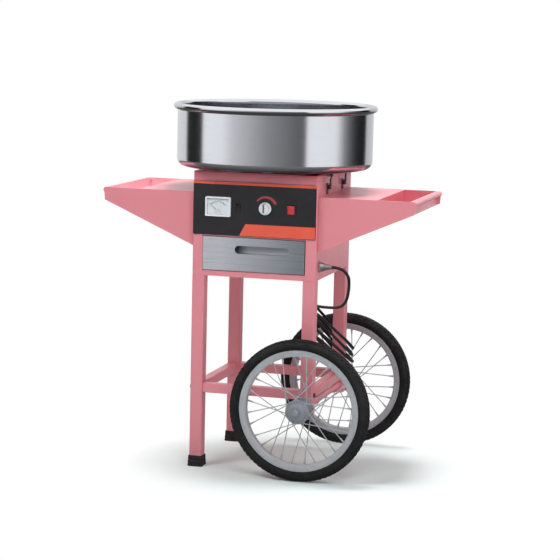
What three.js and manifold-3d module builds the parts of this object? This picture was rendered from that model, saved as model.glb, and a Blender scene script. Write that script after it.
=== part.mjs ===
// Electric cotton candy machine on a two-wheeled cart.
// Millimetres, +Z up, front towards -Y, origin on the floor under the middle of the cabinet.

import * as THREE from 'three';
import { mergeVertices } from 'three/addons/utils/BufferGeometryUtils.js';
import Module from 'manifold-3d';

const wasm = await Module();
wasm.setup();

// Clearance between pieces that touch
const gap = 0.3;

// Cabinet, from its underside up
const cabinetWidth = 320;
const cabinetDepth = 350;
const cabinetUnderside = 492;
const cabinetCorner = 4;
const sheet = 2;
const bottomRail = 15.5;
const drawerFrontHeight = 84;
const middleRail = 4.5;
const panelHeight = 134.5;
const headRail = 21.5;
const topSheet = 2;
const seatRingRadius = 106;
const seatRingWidth = 12;
const seatRingHeight = 4.4;
const shaftHoleRadius = 14;
const dividerSheet = 2;
const ventRows = 6;
const ventPitch = 14;
const ventWidth = 84;
const ventHeight = 4;
const ventSpacing = 28;

// Front panel and what it carries: the meter is placed from the left side, the power switch from
// the right side, and heights are measured from the panel's lower edge
const panelSheet = 2.5;
const controlRowHeight = 72;
const meterFromLeft = 67.5;
const meterX = meterFromLeft - cabinetWidth / 2;
const meterWidth = 65;
const meterHeight = 49;
const meterProud = 9;
const meterBezel = 4;
const meterRecess = 6;
const meterBackWidth = 40;
const meterBackHeight = 34;
const meterBackDepth = 24;
const dialSheet = 0.8;
const lensSheet = 1.5;
const needleLength = 27;
const needleWidth = 1.4;
const needleSheet = 0.8;
const needleHubRadius = 2.6;
const needleRestAngle = 45;
const knobRadius = 16;
const knobSkirt = 4;
const knobHeight = 17;
const knobGripRadius = 12.5;
const spindleRadius = 3;
const spindleLength = 20;
const bushRadius = 6;
const bushProud = 3;
const regulatorSize = 42;
const regulatorDepth = 26;
const powerSwitchFromRight = 65;
const powerSwitchX = cabinetWidth / 2 - powerSwitchFromRight;
const powerSwitchWidth = 25;
const powerSwitchHeight = 29;
const heatSwitchFromMeter = 49.5;
const heatSwitchX = meterX + heatSwitchFromMeter;
const heatSwitchWidth = 14;
const heatSwitchHeight = 22;
const knobFromPowerSwitch = 66.5;
const knobX = powerSwitchX - knobFromPowerSwitch;
const switchBezel = 2.5;
const switchProud = 2;
const switchBackDepth = 20;
const rockerTilt = 8;

// Drawer
const drawerFrontWidth = 264;
const drawerGap = 1.2;
const drawerProud = 2.5;
const drawerDepth = 290;
const drawerSheet = 1.5;
const drawerHeight = 70;
const pullX = 22;
const pullLength = 141;
const pullHeight = 20;
const pullDepth = 13;
const runnerHeight = 6;
const runnerSheet = 2;

// Bowl
const bowlRimRadius = 260;
const bowlWallRadius = 250;
const bowlHeight = 160;
const bowlSheet = 1.6;
const bowlCorner = 20;
const bowlBead = 8;
const bowlNeckRadius = 24;
const bowlNeckHeight = 16;
const bowlSides = 40;

// Spinner head, motor and slip rings
const headRadius = 60;
const bandHeight = 36;
const bandSheet = 2;
const headSheet = 2;
const headLip = 7;
const headSleeveRadius = 12;
const headSleeveDrop = 14;
const sugarRadius = 26;
const sugarDepth = 28;
const headAboveFloor = 45;
const bandSlots = 20;
const slotWidth = 4;
const slotHeight = 20;
const heaterRadius = 48;
const heaterTube = 3.2;
const heaterHeight = 20;
const shaftRadius = 5;
const motorRadius = 41;
const motorLength = 88;
const motorFlange = 104;
const motorFlangeSheet = 4;
const slipRingRadius = 15;
const slipRingLength = 34;
const brushWidth = 18;
const brushDepth = 14;
const brushArm = 7;
const brushBelowMotor = 8;

// Bowl latches, on both sides of the cabinet
const latchSpread = 78;
const latchWidth = 14;
const latchFoot = 9;
const latchPivotHeight = 20;
const latchPivotX = 6;
const latchPinRadius = 2;
const latchPinRoom = 0.45;
const latchLeverWidth = 10;
const latchHookBelowTop = 1.6;

// Legs, feet and stretchers
const legSize = 32;
const legWall = 2;
const legCorner = 3;
const footSize = 40;
const footHeight = 28;
const footSole = 6;
const stretcherSize = 24;
const stretcherWall = 1.8;
const stretcherAboveAxle = 14;
const legBelowAxle = 22;

// Wheels and axle
const wheelRadius = 178;
const tyreWidth = 32;
const tyreDepth = 26;
const rimWidth = 24;
const rimDepth = 17;
const wheelSides = 32;
const hubLength = 66;
const hubSides = 16;
const hubRadius = 25;
const flangeRadius = 30;
const spokeCount = 28;
const spokeRadius = 1.2;
const spokeSweep = 58;
const axleRadius = 11;
const journalRadius = 8;
const axleShoulder = 26.7;
const nutFlats = 18;
const nutLength = 12;

// Side trays
const trayLength = 246;
const trayWidth = 320;
const trayBelowTop = 51;
const trayRootDepth = 138;
const trayTipDepth = 32;
const traySheet = 2;
const lipRadius = 7;
const lipStart = (-5 / 6) * Math.PI;
const deckLength = 148;

// Mains lead
const cordRadius = 3.8;
const glandFromFront = 35;
const glandY = glandFromFront - cabinetDepth / 2;
const glandHeight = 34;
const glandLength = 33;
const glandRadius = 14;
const glandShoulder = 17;
const windingTurns = 4.917;
const windingPitch = 20;
const windingHalfLength = 50;
const windingHalfWidth = 51;
const windingTilt = 50;
const windingSlack = 9;
const windingAbove = 122;
const plugLength = 42;
const plugWidth = 26;
const plugThickness = 22;
const plugShoulder = 24;
const pinRadius = 2.4;
const pinLength = 18;
const pinSpacing = 19;

// Heights and places that follow from the sizes above
const drawerFrontBottom = cabinetUnderside + bottomRail;
const drawerFrontTop = drawerFrontBottom + drawerFrontHeight;
const panelBottom = drawerFrontTop + middleRail;
const panelTop = panelBottom + panelHeight;
const cabinetTop = panelTop + headRail;
const controlRow = panelBottom + controlRowHeight;
const frontFace = -cabinetDepth / 2;
const panelFace = frontFace - gap - panelSheet;
const topPlateUnderside = cabinetTop + gap;
const topPlateTop = topPlateUnderside + topSheet;
const bowlUnderside = topPlateTop + seatRingHeight + gap;
const bowlFloor = bowlUnderside + bowlSheet;
const headUnderside = bowlFloor + headAboveFloor;
const motorTop = topPlateUnderside - gap;
const motorBottom = motorTop - motorFlangeSheet - motorLength;
const trayTop = cabinetTop - trayBelowTop;
const deckTop = trayTop - gap;
const legX = cabinetWidth / 2 - legSize / 2;
const legY = cabinetDepth / 2 - legSize / 2;
const axleHeight = wheelRadius;
const stretcherBottom = axleHeight + stretcherAboveAxle;
const stretcherTop = stretcherBottom + stretcherSize;
const shoulderY = cabinetDepth / 2 + axleShoulder;
const wheelY = shoulderY + gap + hubLength / 2;
const rimOuter = wheelRadius - tyreDepth;
const rimInner = rimOuter - rimDepth;

// Finishes
const finish = (color, roughness, metalness) => ({ color, roughness, metalness });
const pinkPaint = finish(0xd8818c, 0.45, 0.05);
const blackPanel = finish(0x26262b, 0.4, 0.0);
const steel = finish(0xb9bcc2, 0.22, 1.0);
const satinSteel = finish(0x9fa3aa, 0.4, 0.9);
const castAluminium = finish(0xb0b2b6, 0.5, 0.8);
const blackPlastic = finish(0x1d1d20, 0.55, 0.0);
const redPlastic = finish(0xd2382f, 0.35, 0.0);
const whitePlastic = finish(0xe9ecee, 0.35, 0.0);
const clearWindow = finish(0xdfe9f2, 0.05, 0.0);
const blackRubber = finish(0x161617, 0.85, 0.0);
const greyHub = finish(0x83868d, 0.5, 0.3);
const motorSteel = finish(0x5d6066, 0.5, 0.7);

// Closed solid from a closed geometry, with its faces pointing out
function solid(geometry) {
  const plain = geometry.clone();
  plain.deleteAttribute('normal');
  plain.deleteAttribute('uv');
  const merged = mergeVertices(plain, 1e-4);
  const xyz = merged.attributes.position.array;
  const corners = merged.index.array;
  const faces = [];
  let volume = 0;
  for (let i = 0; i < corners.length; i += 3) {
    const [a, b, c] = [corners[i], corners[i + 1], corners[i + 2]];
    if (a === b || b === c || c === a) continue;
    faces.push(a, b, c);
    const va = new THREE.Vector3().fromArray(xyz, a * 3);
    const vb = new THREE.Vector3().fromArray(xyz, b * 3);
    const vc = new THREE.Vector3().fromArray(xyz, c * 3);
    volume += va.dot(vb.cross(vc));
  }
  if (volume < 0) faces.reverse();
  const mesh = new wasm.Mesh({
    numProp: 3,
    vertProperties: Float32Array.from(xyz),
    triVerts: Uint32Array.from(faces),
  });
  return new wasm.Manifold(mesh);
}

function join(solids) {
  return solids.reduce((whole, next) => whole.add(next));
}

function cut(body, tools) {
  return tools.reduce((rest, tool) => rest.subtract(tool), body);
}

// A named piece of one finish
function piece(name, body, look) {
  const cleaned = body.getMesh();
  const geometry = new THREE.BufferGeometry();
  geometry.setAttribute('position', new THREE.BufferAttribute(cleaned.vertProperties, 3));
  geometry.setIndex(new THREE.BufferAttribute(cleaned.triVerts, 1));
  geometry.computeVertexNormals();
  const mesh = new THREE.Mesh(geometry, new THREE.MeshStandardMaterial(look));
  mesh.name = name;
  return mesh;
}

function at(mesh, x, y, z) {
  mesh.position.set(x, y, z);
  return mesh;
}

// Block between two corners
function block(low, high) {
  const size = high.map((value, axis) => value - low[axis]);
  const middle = high.map((value, axis) => (value + low[axis]) / 2);
  return solid(new THREE.BoxGeometry(...size).translate(...middle));
}

// Profile (r, z) turned about Z; it closes on itself or lies on the axis at both ends
function turned(profile, sides) {
  const points = profile.map(([r, z]) => new THREE.Vector2(r, z));
  return new THREE.LatheGeometry(points, sides).rotateX(Math.PI / 2);
}

// Round bar about Z
function bar(radius, bottom, top, sides) {
  return turned([[0, bottom], [radius, bottom], [radius, top], [0, top]], sides);
}

// Ring with a closed profile about Z
function ring(profile, sides) {
  return turned([...profile, profile[0]], sides);
}

// From the Z axis to the X or Y axis
function alongX(geometry) {
  return geometry.rotateY(Math.PI / 2);
}

function alongY(geometry) {
  return geometry.rotateX(-Math.PI / 2);
}

function roundedRectangle(width, height, radius) {
  const [w, h] = [width / 2 - radius, height / 2 - radius];
  const shape = new THREE.Shape();
  shape.absarc(w, h, radius, 0, Math.PI / 2);
  shape.absarc(-w, h, radius, Math.PI / 2, Math.PI);
  shape.absarc(-w, -h, radius, Math.PI, 1.5 * Math.PI);
  shape.absarc(w, -h, radius, 1.5 * Math.PI, 2 * Math.PI);
  shape.closePath();
  return shape;
}

function polygon(points) {
  return new THREE.Shape(points.map(([u, v]) => new THREE.Vector2(u, v)));
}

function extruded(shape, depth, curveSegments = 3) {
  return new THREE.ExtrudeGeometry(shape, { depth, bevelEnabled: false, curveSegments });
}

// Outline in X and Z, extruded along Y and centred on it
function acrossY(shape, width, curveSegments = 3) {
  return extruded(shape, width, curveSegments).rotateX(Math.PI / 2).translate(0, width / 2, 0);
}

// Outline in Y and Z, extruded along X and centred on it
function acrossX(shape, width, curveSegments = 3) {
  const turnedShape = extruded(shape, width, curveSegments).translate(0, 0, -width / 2);
  return turnedShape.rotateY(Math.PI / 2).rotateX(Math.PI / 2);
}

// Straight rod between two points
function rod(from, to, radius, sides) {
  const span = new THREE.Vector3().subVectors(to, from);
  const geometry = new THREE.CylinderGeometry(radius, radius, span.length(), sides);
  const up = new THREE.Vector3(0, 1, 0);
  geometry.applyQuaternion(new THREE.Quaternion().setFromUnitVectors(up, span.clone().normalize()));
  const middle = new THREE.Vector3().addVectors(from, to).multiplyScalar(0.5);
  return geometry.translate(middle.x, middle.y, middle.z);
}

// Holes of the front wall and panel: one way through both, with a margin round each body
function controlCutouts(margin) {
  const through = [frontFace - 20, frontFace + 20];
  const window = (x, width, height) => block(
    [x - width / 2 - margin, through[0], controlRow - height / 2 - margin],
    [x + width / 2 + margin, through[1], controlRow + height / 2 + margin],
  );
  const bushHole = alongY(bar(bushRadius + margin, through[0], through[1], 16));
  return [
    window(meterX, meterBackWidth, meterBackHeight),
    window(powerSwitchX, powerSwitchWidth - 4, powerSwitchHeight - 4),
    window(heatSwitchX, heatSwitchWidth - 4, heatSwitchHeight - 4),
    solid(bushHole.translate(knobX, 0, controlRow)),
  ];
}

// Cabinet: folded sheet with a drawer opening in front, vents behind and an open top
function cabinetShell() {
  const height = cabinetTop - cabinetUnderside;
  const inside = Math.max(cabinetCorner - sheet, 0.5);
  const outer = extruded(roundedRectangle(cabinetWidth, cabinetDepth, cabinetCorner), height);
  const room = extruded(
    roundedRectangle(cabinetWidth - 2 * sheet, cabinetDepth - 2 * sheet, inside),
    height,
  );
  const opening = block(
    [-drawerFrontWidth / 2 - drawerGap, frontFace - 5, drawerFrontBottom - drawerGap],
    [drawerFrontWidth / 2 + drawerGap, frontFace + sheet + 5, drawerFrontTop + drawerGap],
  );
  const glandHole = alongX(bar(glandRadius * 0.55 + gap, -5, 5, 20));
  const vents = [];
  for (let row = 0; row < ventRows; row += 1) {
    for (const side of [-1, 1]) {
      const z = panelBottom + 30 + row * ventPitch;
      const x = (side * (ventWidth + ventSpacing)) / 2;
      vents.push(block(
        [x - ventWidth / 2, cabinetDepth / 2 - sheet - 5, z],
        [x + ventWidth / 2, cabinetDepth / 2 + 5, z + ventHeight],
      ));
    }
  }
  return cut(solid(outer.translate(0, 0, cabinetUnderside)), [
    solid(room.translate(0, 0, cabinetUnderside + sheet)),
    opening,
    solid(glandHole.translate(cabinetWidth / 2, glandY, cabinetUnderside + glandHeight)),
    ...controlCutouts(1),
    ...vents,
  ]);
}

// Top plate with the raised ring that the bowl sits on
function topPlate() {
  const plate = extruded(roundedRectangle(cabinetWidth, cabinetDepth, cabinetCorner), topSheet);
  const low = topSheet / 2;
  const high = topSheet + seatRingHeight;
  const seat = ring([
    [seatRingRadius - seatRingWidth / 2 - 3, low],
    [seatRingRadius + seatRingWidth / 2 + 3, low],
    [seatRingRadius + seatRingWidth / 2, high],
    [seatRingRadius - seatRingWidth / 2, high],
  ], 24);
  const hole = bar(shaftHoleRadius, -topSheet, high + topSheet, 12);
  return cut(join([solid(plate), solid(seat)]), [solid(hole)]);
}

// Plate between the drawer bay and the motor bay, with its edges folded down
function dividerPlate() {
  const halfWidth = cabinetWidth / 2 - sheet - gap;
  const halfDepth = cabinetDepth / 2 - sheet - gap;
  const fold = middleRail - drawerGap - gap;
  const foldHalf = halfWidth - cabinetCorner;
  const outline = roundedRectangle(2 * halfWidth, 2 * halfDepth, cabinetCorner);
  const front = block([-foldHalf, -halfDepth, -fold], [foldHalf, -halfDepth + dividerSheet, 1]);
  const back = block([-foldHalf, halfDepth - dividerSheet, -fold], [foldHalf, halfDepth, 1]);
  return join([solid(extruded(outline, dividerSheet, 2)), front, back]);
}

function controlPanel() {
  const plate = acrossY(roundedRectangle(cabinetWidth - 2, panelHeight, 1.5), panelSheet, 2);
  const y = panelFace + panelSheet / 2;
  return cut(solid(plate.translate(0, y, (panelBottom + panelTop) / 2)), controlCutouts(0.5));
}

// Meter: case with a front recess, dial, needle and window
function meterCase() {
  const face = panelFace - gap;
  const front = acrossY(roundedRectangle(meterWidth, meterHeight, 2.5), meterProud, 2);
  const recess = block(
    [-meterWidth / 2 + meterBezel, face - meterProud - 1, -meterHeight / 2 + meterBezel],
    [meterWidth / 2 - meterBezel, face - meterProud + meterRecess, meterHeight / 2 - meterBezel],
  );
  const back = block(
    [-meterBackWidth / 2, face - 1, -meterBackHeight / 2],
    [meterBackWidth / 2, face + meterBackDepth, meterBackHeight / 2],
  );
  return join([cut(solid(front.translate(0, face - meterProud / 2, 0)), [recess]), back]);
}

// Dial plate with the pin that carries the needle
const needlePivotBelow = meterHeight / 2 - meterBezel - 7;

function meterDial() {
  const halfWidth = meterWidth / 2 - meterBezel - gap;
  const halfHeight = meterHeight / 2 - meterBezel - gap;
  const pin = alongY(bar(needleHubRadius * 0.4, -2.4, dialSheet / 2, 12));
  return join([
    block([-halfWidth, 0, -halfHeight], [halfWidth, dialSheet, halfHeight]),
    solid(pin.translate(0, 0, -needlePivotBelow)),
  ]);
}

function meterNeedle() {
  const hub = alongY(bar(needleHubRadius, -needleSheet, needleSheet, 16));
  const blade = polygon([
    [-needleWidth, 0],
    [needleWidth, 0],
    [needleWidth * 0.3, needleLength],
    [-needleWidth * 0.3, needleLength],
  ]);
  const bore = alongY(bar(needleHubRadius * 0.4 + gap, -5, 5, 12));
  const whole = join([solid(hub), solid(acrossY(blade, needleSheet))]);
  return cut(whole, [solid(bore)]);
}

function meterLens() {
  const halfWidth = meterWidth / 2 - meterBezel - gap;
  const halfHeight = meterHeight / 2 - meterBezel - gap;
  return block([-halfWidth, 0, -halfHeight], [halfWidth, lensSheet, halfHeight]);
}

// Knob with a skirt, a waisted grip, a pointer ridge and its spindle, about the Z axis
function controlKnob() {
  const profile = [
    [0, 0],
    [bushRadius + 1, 0],
    [knobRadius - 0.8, 0],
    [knobRadius, 1],
    [knobRadius - 0.6, knobSkirt],
    [knobGripRadius, knobSkirt + 1.5],
    [knobGripRadius - 0.8, knobHeight - 1.2],
    [knobGripRadius - 2, knobHeight],
    [0, knobHeight],
  ];
  const ridge = block([-1.6, 0, knobHeight - 0.5], [1.6, knobGripRadius - 1.5, knobHeight + 1.2]);
  const pocket = bar(bushRadius + 1, -1, bushProud + gap + 0.5, 16);
  const spindle = bar(spindleRadius, -spindleLength, knobHeight / 2, 12);
  return join([cut(solid(turned(profile, 20)), [solid(pocket)]), ridge, solid(spindle)]);
}

// Heat regulator behind the panel, with the bush that the spindle turns in
function heatRegulator() {
  const rear = frontFace + sheet + gap;
  const halfSize = regulatorSize / 2;
  const body = block([-halfSize, rear, -halfSize], [halfSize, rear + regulatorDepth, halfSize]);
  const bush = alongY(bar(bushRadius, panelFace - bushProud, rear + 1, 16));
  const bore = alongY(bar(spindleRadius + 0.4, panelFace - 10, panelFace + spindleLength + 2, 12));
  return cut(join([body, solid(bush)]), [solid(bore)]);
}

// Switch frame with a pocket for its rocker
function switchBezelFrame(width, height) {
  const face = panelFace - gap;
  const frame = acrossY(roundedRectangle(width, height, 1.5), switchProud, 2);
  const back = block(
    [-width / 2 + 2, face - 1, -height / 2 + 2],
    [width / 2 - 2, face + switchBackDepth, height / 2 - 2],
  );
  const pocket = block(
    [-width / 2 + switchBezel + 0.5, face - 10, -height / 2 + switchBezel + 0.5],
    [width / 2 - switchBezel - 0.5, face + switchBackDepth - 4, height / 2 - switchBezel - 0.5],
  );
  return cut(join([solid(frame.translate(0, face - switchProud / 2, 0)), back]), [pocket]);
}

// Rocker about the X axis: two slightly raised ends over a round keel
function rocker(width, height) {
  const halfWidth = width / 2 - switchBezel - 1;
  const half = height / 2 - switchBezel - 1.6;
  const shape = polygon([
    [-5.5, half], [-4.4, 0], [-5.5, -half], [-1, -half], [5, -half * 0.35], [5, half * 0.35], [-1, half],
  ]);
  return solid(acrossX(shape, 2 * halfWidth));
}

// Drawer: open tray, front plate and a dished obround pull
function drawer() {
  const frontOuter = frontFace - drawerProud;
  const inner = frontFace + gap;
  const halfWidth = drawerFrontWidth / 2;
  const boxHalf = halfWidth - 4;
  const low = drawerFrontBottom + gap;
  const plate = block([-halfWidth, frontOuter, drawerFrontBottom], [halfWidth, inner, drawerFrontTop]);
  const box = block([-boxHalf, inner - 0.5, low], [boxHalf, inner + drawerDepth, low + drawerHeight]);
  const room = block(
    [-boxHalf + drawerSheet, inner, low + drawerSheet],
    [boxHalf - drawerSheet, inner + drawerDepth - drawerSheet, low + drawerHeight + 5],
  );
  const middle = (drawerFrontBottom + drawerFrontTop) / 2 + 12;
  const obround = (length, height) => roundedRectangle(length, height, height / 2 - 0.01);
  const dish = acrossY(obround(pullLength + 3, pullHeight + 3), pullDepth, 5);
  const recess = acrossY(obround(pullLength, pullHeight), pullDepth, 5);
  const dishY = frontOuter + 0.5 + pullDepth / 2;
  return cut(join([plate, cut(box, [room]), solid(dish.translate(pullX, dishY, middle))]), [
    solid(recess.translate(pullX, dishY - 2, middle)),
  ]);
}

// Angle rail that carries one side of the drawer, against the cabinet's side wall
function drawerRunner(side) {
  const wall = cabinetWidth / 2 - sheet - gap;
  const top = drawerFrontBottom;
  const reach = drawerFrontWidth / 2 - 12;
  const front = frontFace + sheet + cabinetCorner;
  const back = front + drawerDepth;
  const sorted = (a, b) => [Math.min(a, b), Math.max(a, b)];
  const [upLow, upHigh] = sorted(side * wall, side * (wall - runnerSheet));
  const [ledgeLow, ledgeHigh] = sorted(side * wall, side * reach);
  return join([
    block([upLow, front, top - runnerSheet], [upHigh, back, top + runnerHeight]),
    block([ledgeLow, front, top - runnerSheet], [ledgeHigh, back, top]),
  ]);
}

// Bowl: spun pan with a neck round the shaft and a rolled bead at the rim
function bowlProfile() {
  const t = bowlSheet;
  const outer = [];
  const inner = [];
  for (let step = 0; step <= 3; step += 1) {
    const angle = -Math.PI / 2 + (step / 3) * (Math.PI / 2);
    const centre = [bowlWallRadius - bowlCorner, bowlCorner];
    outer.push([centre[0] + bowlCorner * Math.cos(angle), centre[1] + bowlCorner * Math.sin(angle)]);
    const small = bowlCorner - t;
    inner.unshift([centre[0] + small * Math.cos(angle), centre[1] + small * Math.sin(angle)]);
  }
  const bead = [];
  const beadCentre = [bowlRimRadius - bowlBead, bowlHeight - bowlBead];
  for (let step = 0; step <= 4; step += 1) {
    const angle = -0.5 * Math.PI + (step / 4) * 1.5 * Math.PI;
    bead.push([beadCentre[0] + bowlBead * Math.cos(angle), beadCentre[1] + bowlBead * Math.sin(angle)]);
  }
  return [
    [bowlNeckRadius, 0],
    ...outer,
    [bowlWallRadius, bowlHeight - 2.2 * bowlBead],
    ...bead,
    [bowlWallRadius - t, bowlHeight - 2.2 * bowlBead],
    ...inner,
    [bowlNeckRadius + t, t],
    [bowlNeckRadius + t, bowlNeckHeight],
    [bowlNeckRadius, bowlNeckHeight],
  ];
}

// Keeper under the bowl that a latch hooks over, with its lip towards +X
const keeperTop = bowlUnderside + bowlSheet / 2;
const hookBottom = cabinetTop - latchHookBelowTop;

function keeper(side, y) {
  const webX = [cabinetWidth / 2 + 1.5, cabinetWidth / 2 + 3.5];
  const lipX = [webX[0], webX[1] + 5];
  const span = ([a, b]) => [Math.min(side * a, side * b), Math.max(side * a, side * b)];
  const [webLow, webHigh] = span(webX);
  const [lipLow, lipHigh] = span(lipX);
  const lipTop = hookBottom - 0.8;
  const half = latchWidth / 2;
  return join([
    block([webLow, y - half, lipTop - 2.5], [webHigh, y + half, keeperTop]),
    block([lipLow, y - half, lipTop - 2.5], [lipHigh, y + half, lipTop]),
  ]);
}

function bowl() {
  const pan = solid(ring(bowlProfile(), bowlSides).translate(0, 0, bowlUnderside));
  const keepers = [];
  for (const side of [-1, 1]) {
    for (const y of [-latchSpread, latchSpread]) keepers.push(keeper(side, y));
  }
  return join([pan, ...keepers]);
}

// Spinner head, from the underside of its base
function headBase() {
  const profile = [
    [shaftRadius + gap, -headSleeveDrop],
    [headSleeveRadius, -headSleeveDrop],
    [headSleeveRadius + 1, -1],
    [headRadius - 3, 0],
    [headRadius, 2],
    [headRadius, headLip],
    [headRadius - headSheet, headLip],
    [headRadius - headSheet, headSheet],
    [headSleeveRadius + 2, headSheet],
    [headSleeveRadius, 6],
    [shaftRadius + gap, 6],
  ];
  const posts = [];
  for (let i = 0; i < 4; i += 1) {
    const post = bar(2.6, headSheet / 2, heaterHeight - heaterTube - gap, 6);
    posts.push(solid(post.translate(heaterRadius, 0, 0).rotateZ((i * Math.PI) / 2)));
  }
  return join([solid(ring(profile, bandSlots)), ...posts]);
}

// Band with the slots that the melted sugar leaves through
function headBand() {
  const outer = headRadius - headSheet - gap;
  const bottom = headSheet + gap;
  const wall = ring([
    [outer - bandSheet, bottom],
    [outer, bottom],
    [outer, bottom + bandHeight],
    [outer - bandSheet, bottom + bandHeight],
  ], bandSlots);
  const slots = [];
  for (let i = 0; i < bandSlots; i += 1) {
    const slot = new THREE.BoxGeometry(5 * bandSheet, slotWidth, slotHeight);
    slot.translate(outer - bandSheet / 2, 0, bottom + bandHeight / 2);
    slots.push(solid(slot.rotateZ(((i + 0.5) / bandSlots) * 2 * Math.PI)));
  }
  return cut(solid(wall), slots);
}

// Cap with the sugar well
function headCap() {
  const under = headSheet + gap + bandHeight + gap;
  const bandOuter = headRadius - headSheet - gap;
  return solid(ring([
    [sugarRadius, under + 8 - sugarDepth],
    [sugarRadius + headSheet, under + 8 - sugarDepth],
    [sugarRadius + headSheet, under],
    [bandOuter + gap, under],
    [bandOuter + gap, under - headLip],
    [headRadius, under - headLip],
    [headRadius, under + 0.5],
    [headRadius - 3, under + 3],
    [sugarRadius + 5, under + 5],
    [sugarRadius + 3, under + 8],
    [sugarRadius, under + 8],
  ], bandSlots));
}

function heaterRing() {
  const section = [];
  for (let i = 0; i < 6; i += 1) {
    const angle = (i / 6) * 2 * Math.PI;
    const radius = heaterTube / Math.cos(Math.PI / 6);
    section.push([heaterRadius + radius * Math.cos(angle), heaterHeight + radius * Math.sin(angle)]);
  }
  return solid(ring(section, bandSlots));
}

// Shaft with three slip rings, from the slip rings' lower end up into the head
function spinnerShaft() {
  const bottom = motorBottom - 3 - slipRingLength;
  const groove = slipRingRadius - 3;
  const profile = [[0, bottom], [groove, bottom]];
  for (let i = 0; i < 3; i += 1) {
    const low = bottom + 3 + i * 10;
    profile.push([groove, low], [slipRingRadius, low], [slipRingRadius, low + 7], [groove, low + 7]);
  }
  profile.push([groove, motorBottom - 3], [shaftRadius, motorBottom - 3]);
  profile.push([shaftRadius, headUnderside + 5], [0, headUnderside + 5]);
  return solid(turned(profile, 12));
}

// Motor hung under the top plate by its flange
function driveMotor() {
  const flange = extruded(roundedRectangle(motorFlange, motorFlange, 8), motorFlangeSheet, 4);
  const body = turned([
    [0, motorBottom],
    [motorRadius - 8, motorBottom],
    [motorRadius, motorBottom + 6],
    [motorRadius, motorTop - motorFlangeSheet / 2],
    [0, motorTop - motorFlangeSheet / 2],
  ], 24);
  const bore = bar(shaftRadius + 0.5, motorBottom - 5, motorTop + 5, 12);
  const whole = join([solid(flange.translate(0, 0, motorTop - motorFlangeSheet)), solid(body)]);
  return cut(whole, [solid(bore)]);
}

function brushHolder() {
  const inner = slipRingRadius + gap;
  const top = motorBottom - gap;
  const half = brushWidth / 2;
  const low = motorBottom - slipRingLength;
  return join([
    block([inner, -half, low], [inner + brushDepth, half, motorBottom - brushBelowMotor]),
    block([inner + brushDepth - brushArm, -half, low], [inner + brushDepth, half, top]),
  ]);
}

// Latch base: plate, two ears and the pivot pin; the lever swings away towards +X
function latchBase() {
  const half = latchWidth / 2;
  const ear = latchLeverWidth / 2 + gap;
  const pin = alongY(bar(latchPinRadius, -half, half, 12));
  return join([
    block([gap, -half, latchFoot - 7], [gap + 2, half, latchPivotHeight + 9]),
    block([gap + 1, -half, latchPivotHeight - 6], [9, -ear, latchPivotHeight + 4]),
    block([gap + 1, ear, latchPivotHeight - 6], [9, half, latchPivotHeight + 4]),
    solid(pin.translate(latchPivotX, 0, latchPivotHeight)),
  ]);
}

// Latch lever about its pivot, with a hook at the top over the bowl's keeper
function latchLever() {
  const top = hookBottom + 3 - (trayTop + latchPivotHeight);
  const shape = polygon([
    [-3, -1.2], [-1.2, -3.1], [2.4, -3.1], [4.4, 2], [4.4, top - 12], [8.4, top - 3],
    [8.4, top + 1], [5.6, top + 1], [5.6, top], [-1.4, top], [-1.4, top - 3], [3.4, top - 3],
    [3.4, top - 9], [1.2, top - 13], [1.2, 7], [-3, 4],
  ]);
  const bore = alongY(bar(latchPinRadius + latchPinRoom, -latchWidth, latchWidth, 12));
  return cut(solid(acrossY(shape, latchLeverWidth)), [solid(bore)]);
}

// Square tube along Z from 0 to its length
function squareTube(size, wall, corner, length, bends = 2) {
  const shape = roundedRectangle(size, size, corner);
  const inner = roundedRectangle(size - 2 * wall, size - 2 * wall, Math.max(corner - wall, 0.6));
  shape.holes.push(new THREE.Path(inner.getPoints(1).reverse()));
  return extruded(shape, length, bends);
}

function leg(side) {
  const bottom = side < 0 ? footSole + gap : axleHeight - legBelowAxle;
  const top = cabinetUnderside - gap;
  const tube = solid(squareTube(legSize, legWall, legCorner, top - bottom).translate(0, 0, bottom));
  if (side < 0) return tube;
  const bore = alongY(bar(axleRadius + gap, -legSize, legSize, 16)).translate(0, 0, axleHeight);
  return cut(tube, [solid(bore)]);
}

// Rubber foot with a socket for the leg
function rubberFoot() {
  const outer = extruded(roundedRectangle(footSize, footSize, 5), footHeight, 2);
  const socket = extruded(roundedRectangle(legSize + 2 * gap, legSize + 2 * gap, legCorner), footHeight, 2);
  return cut(solid(outer), [solid(socket.translate(0, 0, footSole))]);
}

function stretcher(length) {
  const tube = squareTube(stretcherSize, stretcherWall, 2, length, 1);
  return solid(tube.translate(0, 0, -length / 2));
}

// Stepped axle about Z: thick through the legs, a journal in each hub, a thread at each end
const journalEnd = shoulderY + hubLength + 2 * gap;
const threadRadius = journalRadius - 2;

function wheelAxle() {
  const threadEnd = journalEnd + nutLength - 4;
  return solid(turned([
    [0, -threadEnd],
    [threadRadius, -threadEnd],
    [threadRadius, -journalEnd],
    [journalRadius, -journalEnd],
    [journalRadius, -shoulderY],
    [axleRadius, -shoulderY],
    [axleRadius, shoulderY],
    [journalRadius, shoulderY],
    [journalRadius, journalEnd],
    [threadRadius, journalEnd],
    [threadRadius, threadEnd],
    [0, threadEnd],
  ], 16));
}

// Domed nut about Z, open at its lower end
function axleNut() {
  const radius = nutFlats / Math.sqrt(3);
  const hex = new THREE.CylinderGeometry(radius, radius, nutLength * 0.6, 6).rotateX(Math.PI / 2);
  const dome = turned([
    [0, 0.5], [nutFlats / 2 - 0.6, 0.5], [nutFlats / 2 - 0.6, nutLength * 0.62],
    [nutFlats * 0.36, nutLength * 0.88], [0, nutLength],
  ], 12);
  const thread = bar(threadRadius + gap, -5, nutLength - 3, 12);
  return cut(join([solid(hex.translate(0, 0, nutLength * 0.3)), solid(dome)]), [solid(thread)]);
}

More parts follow.
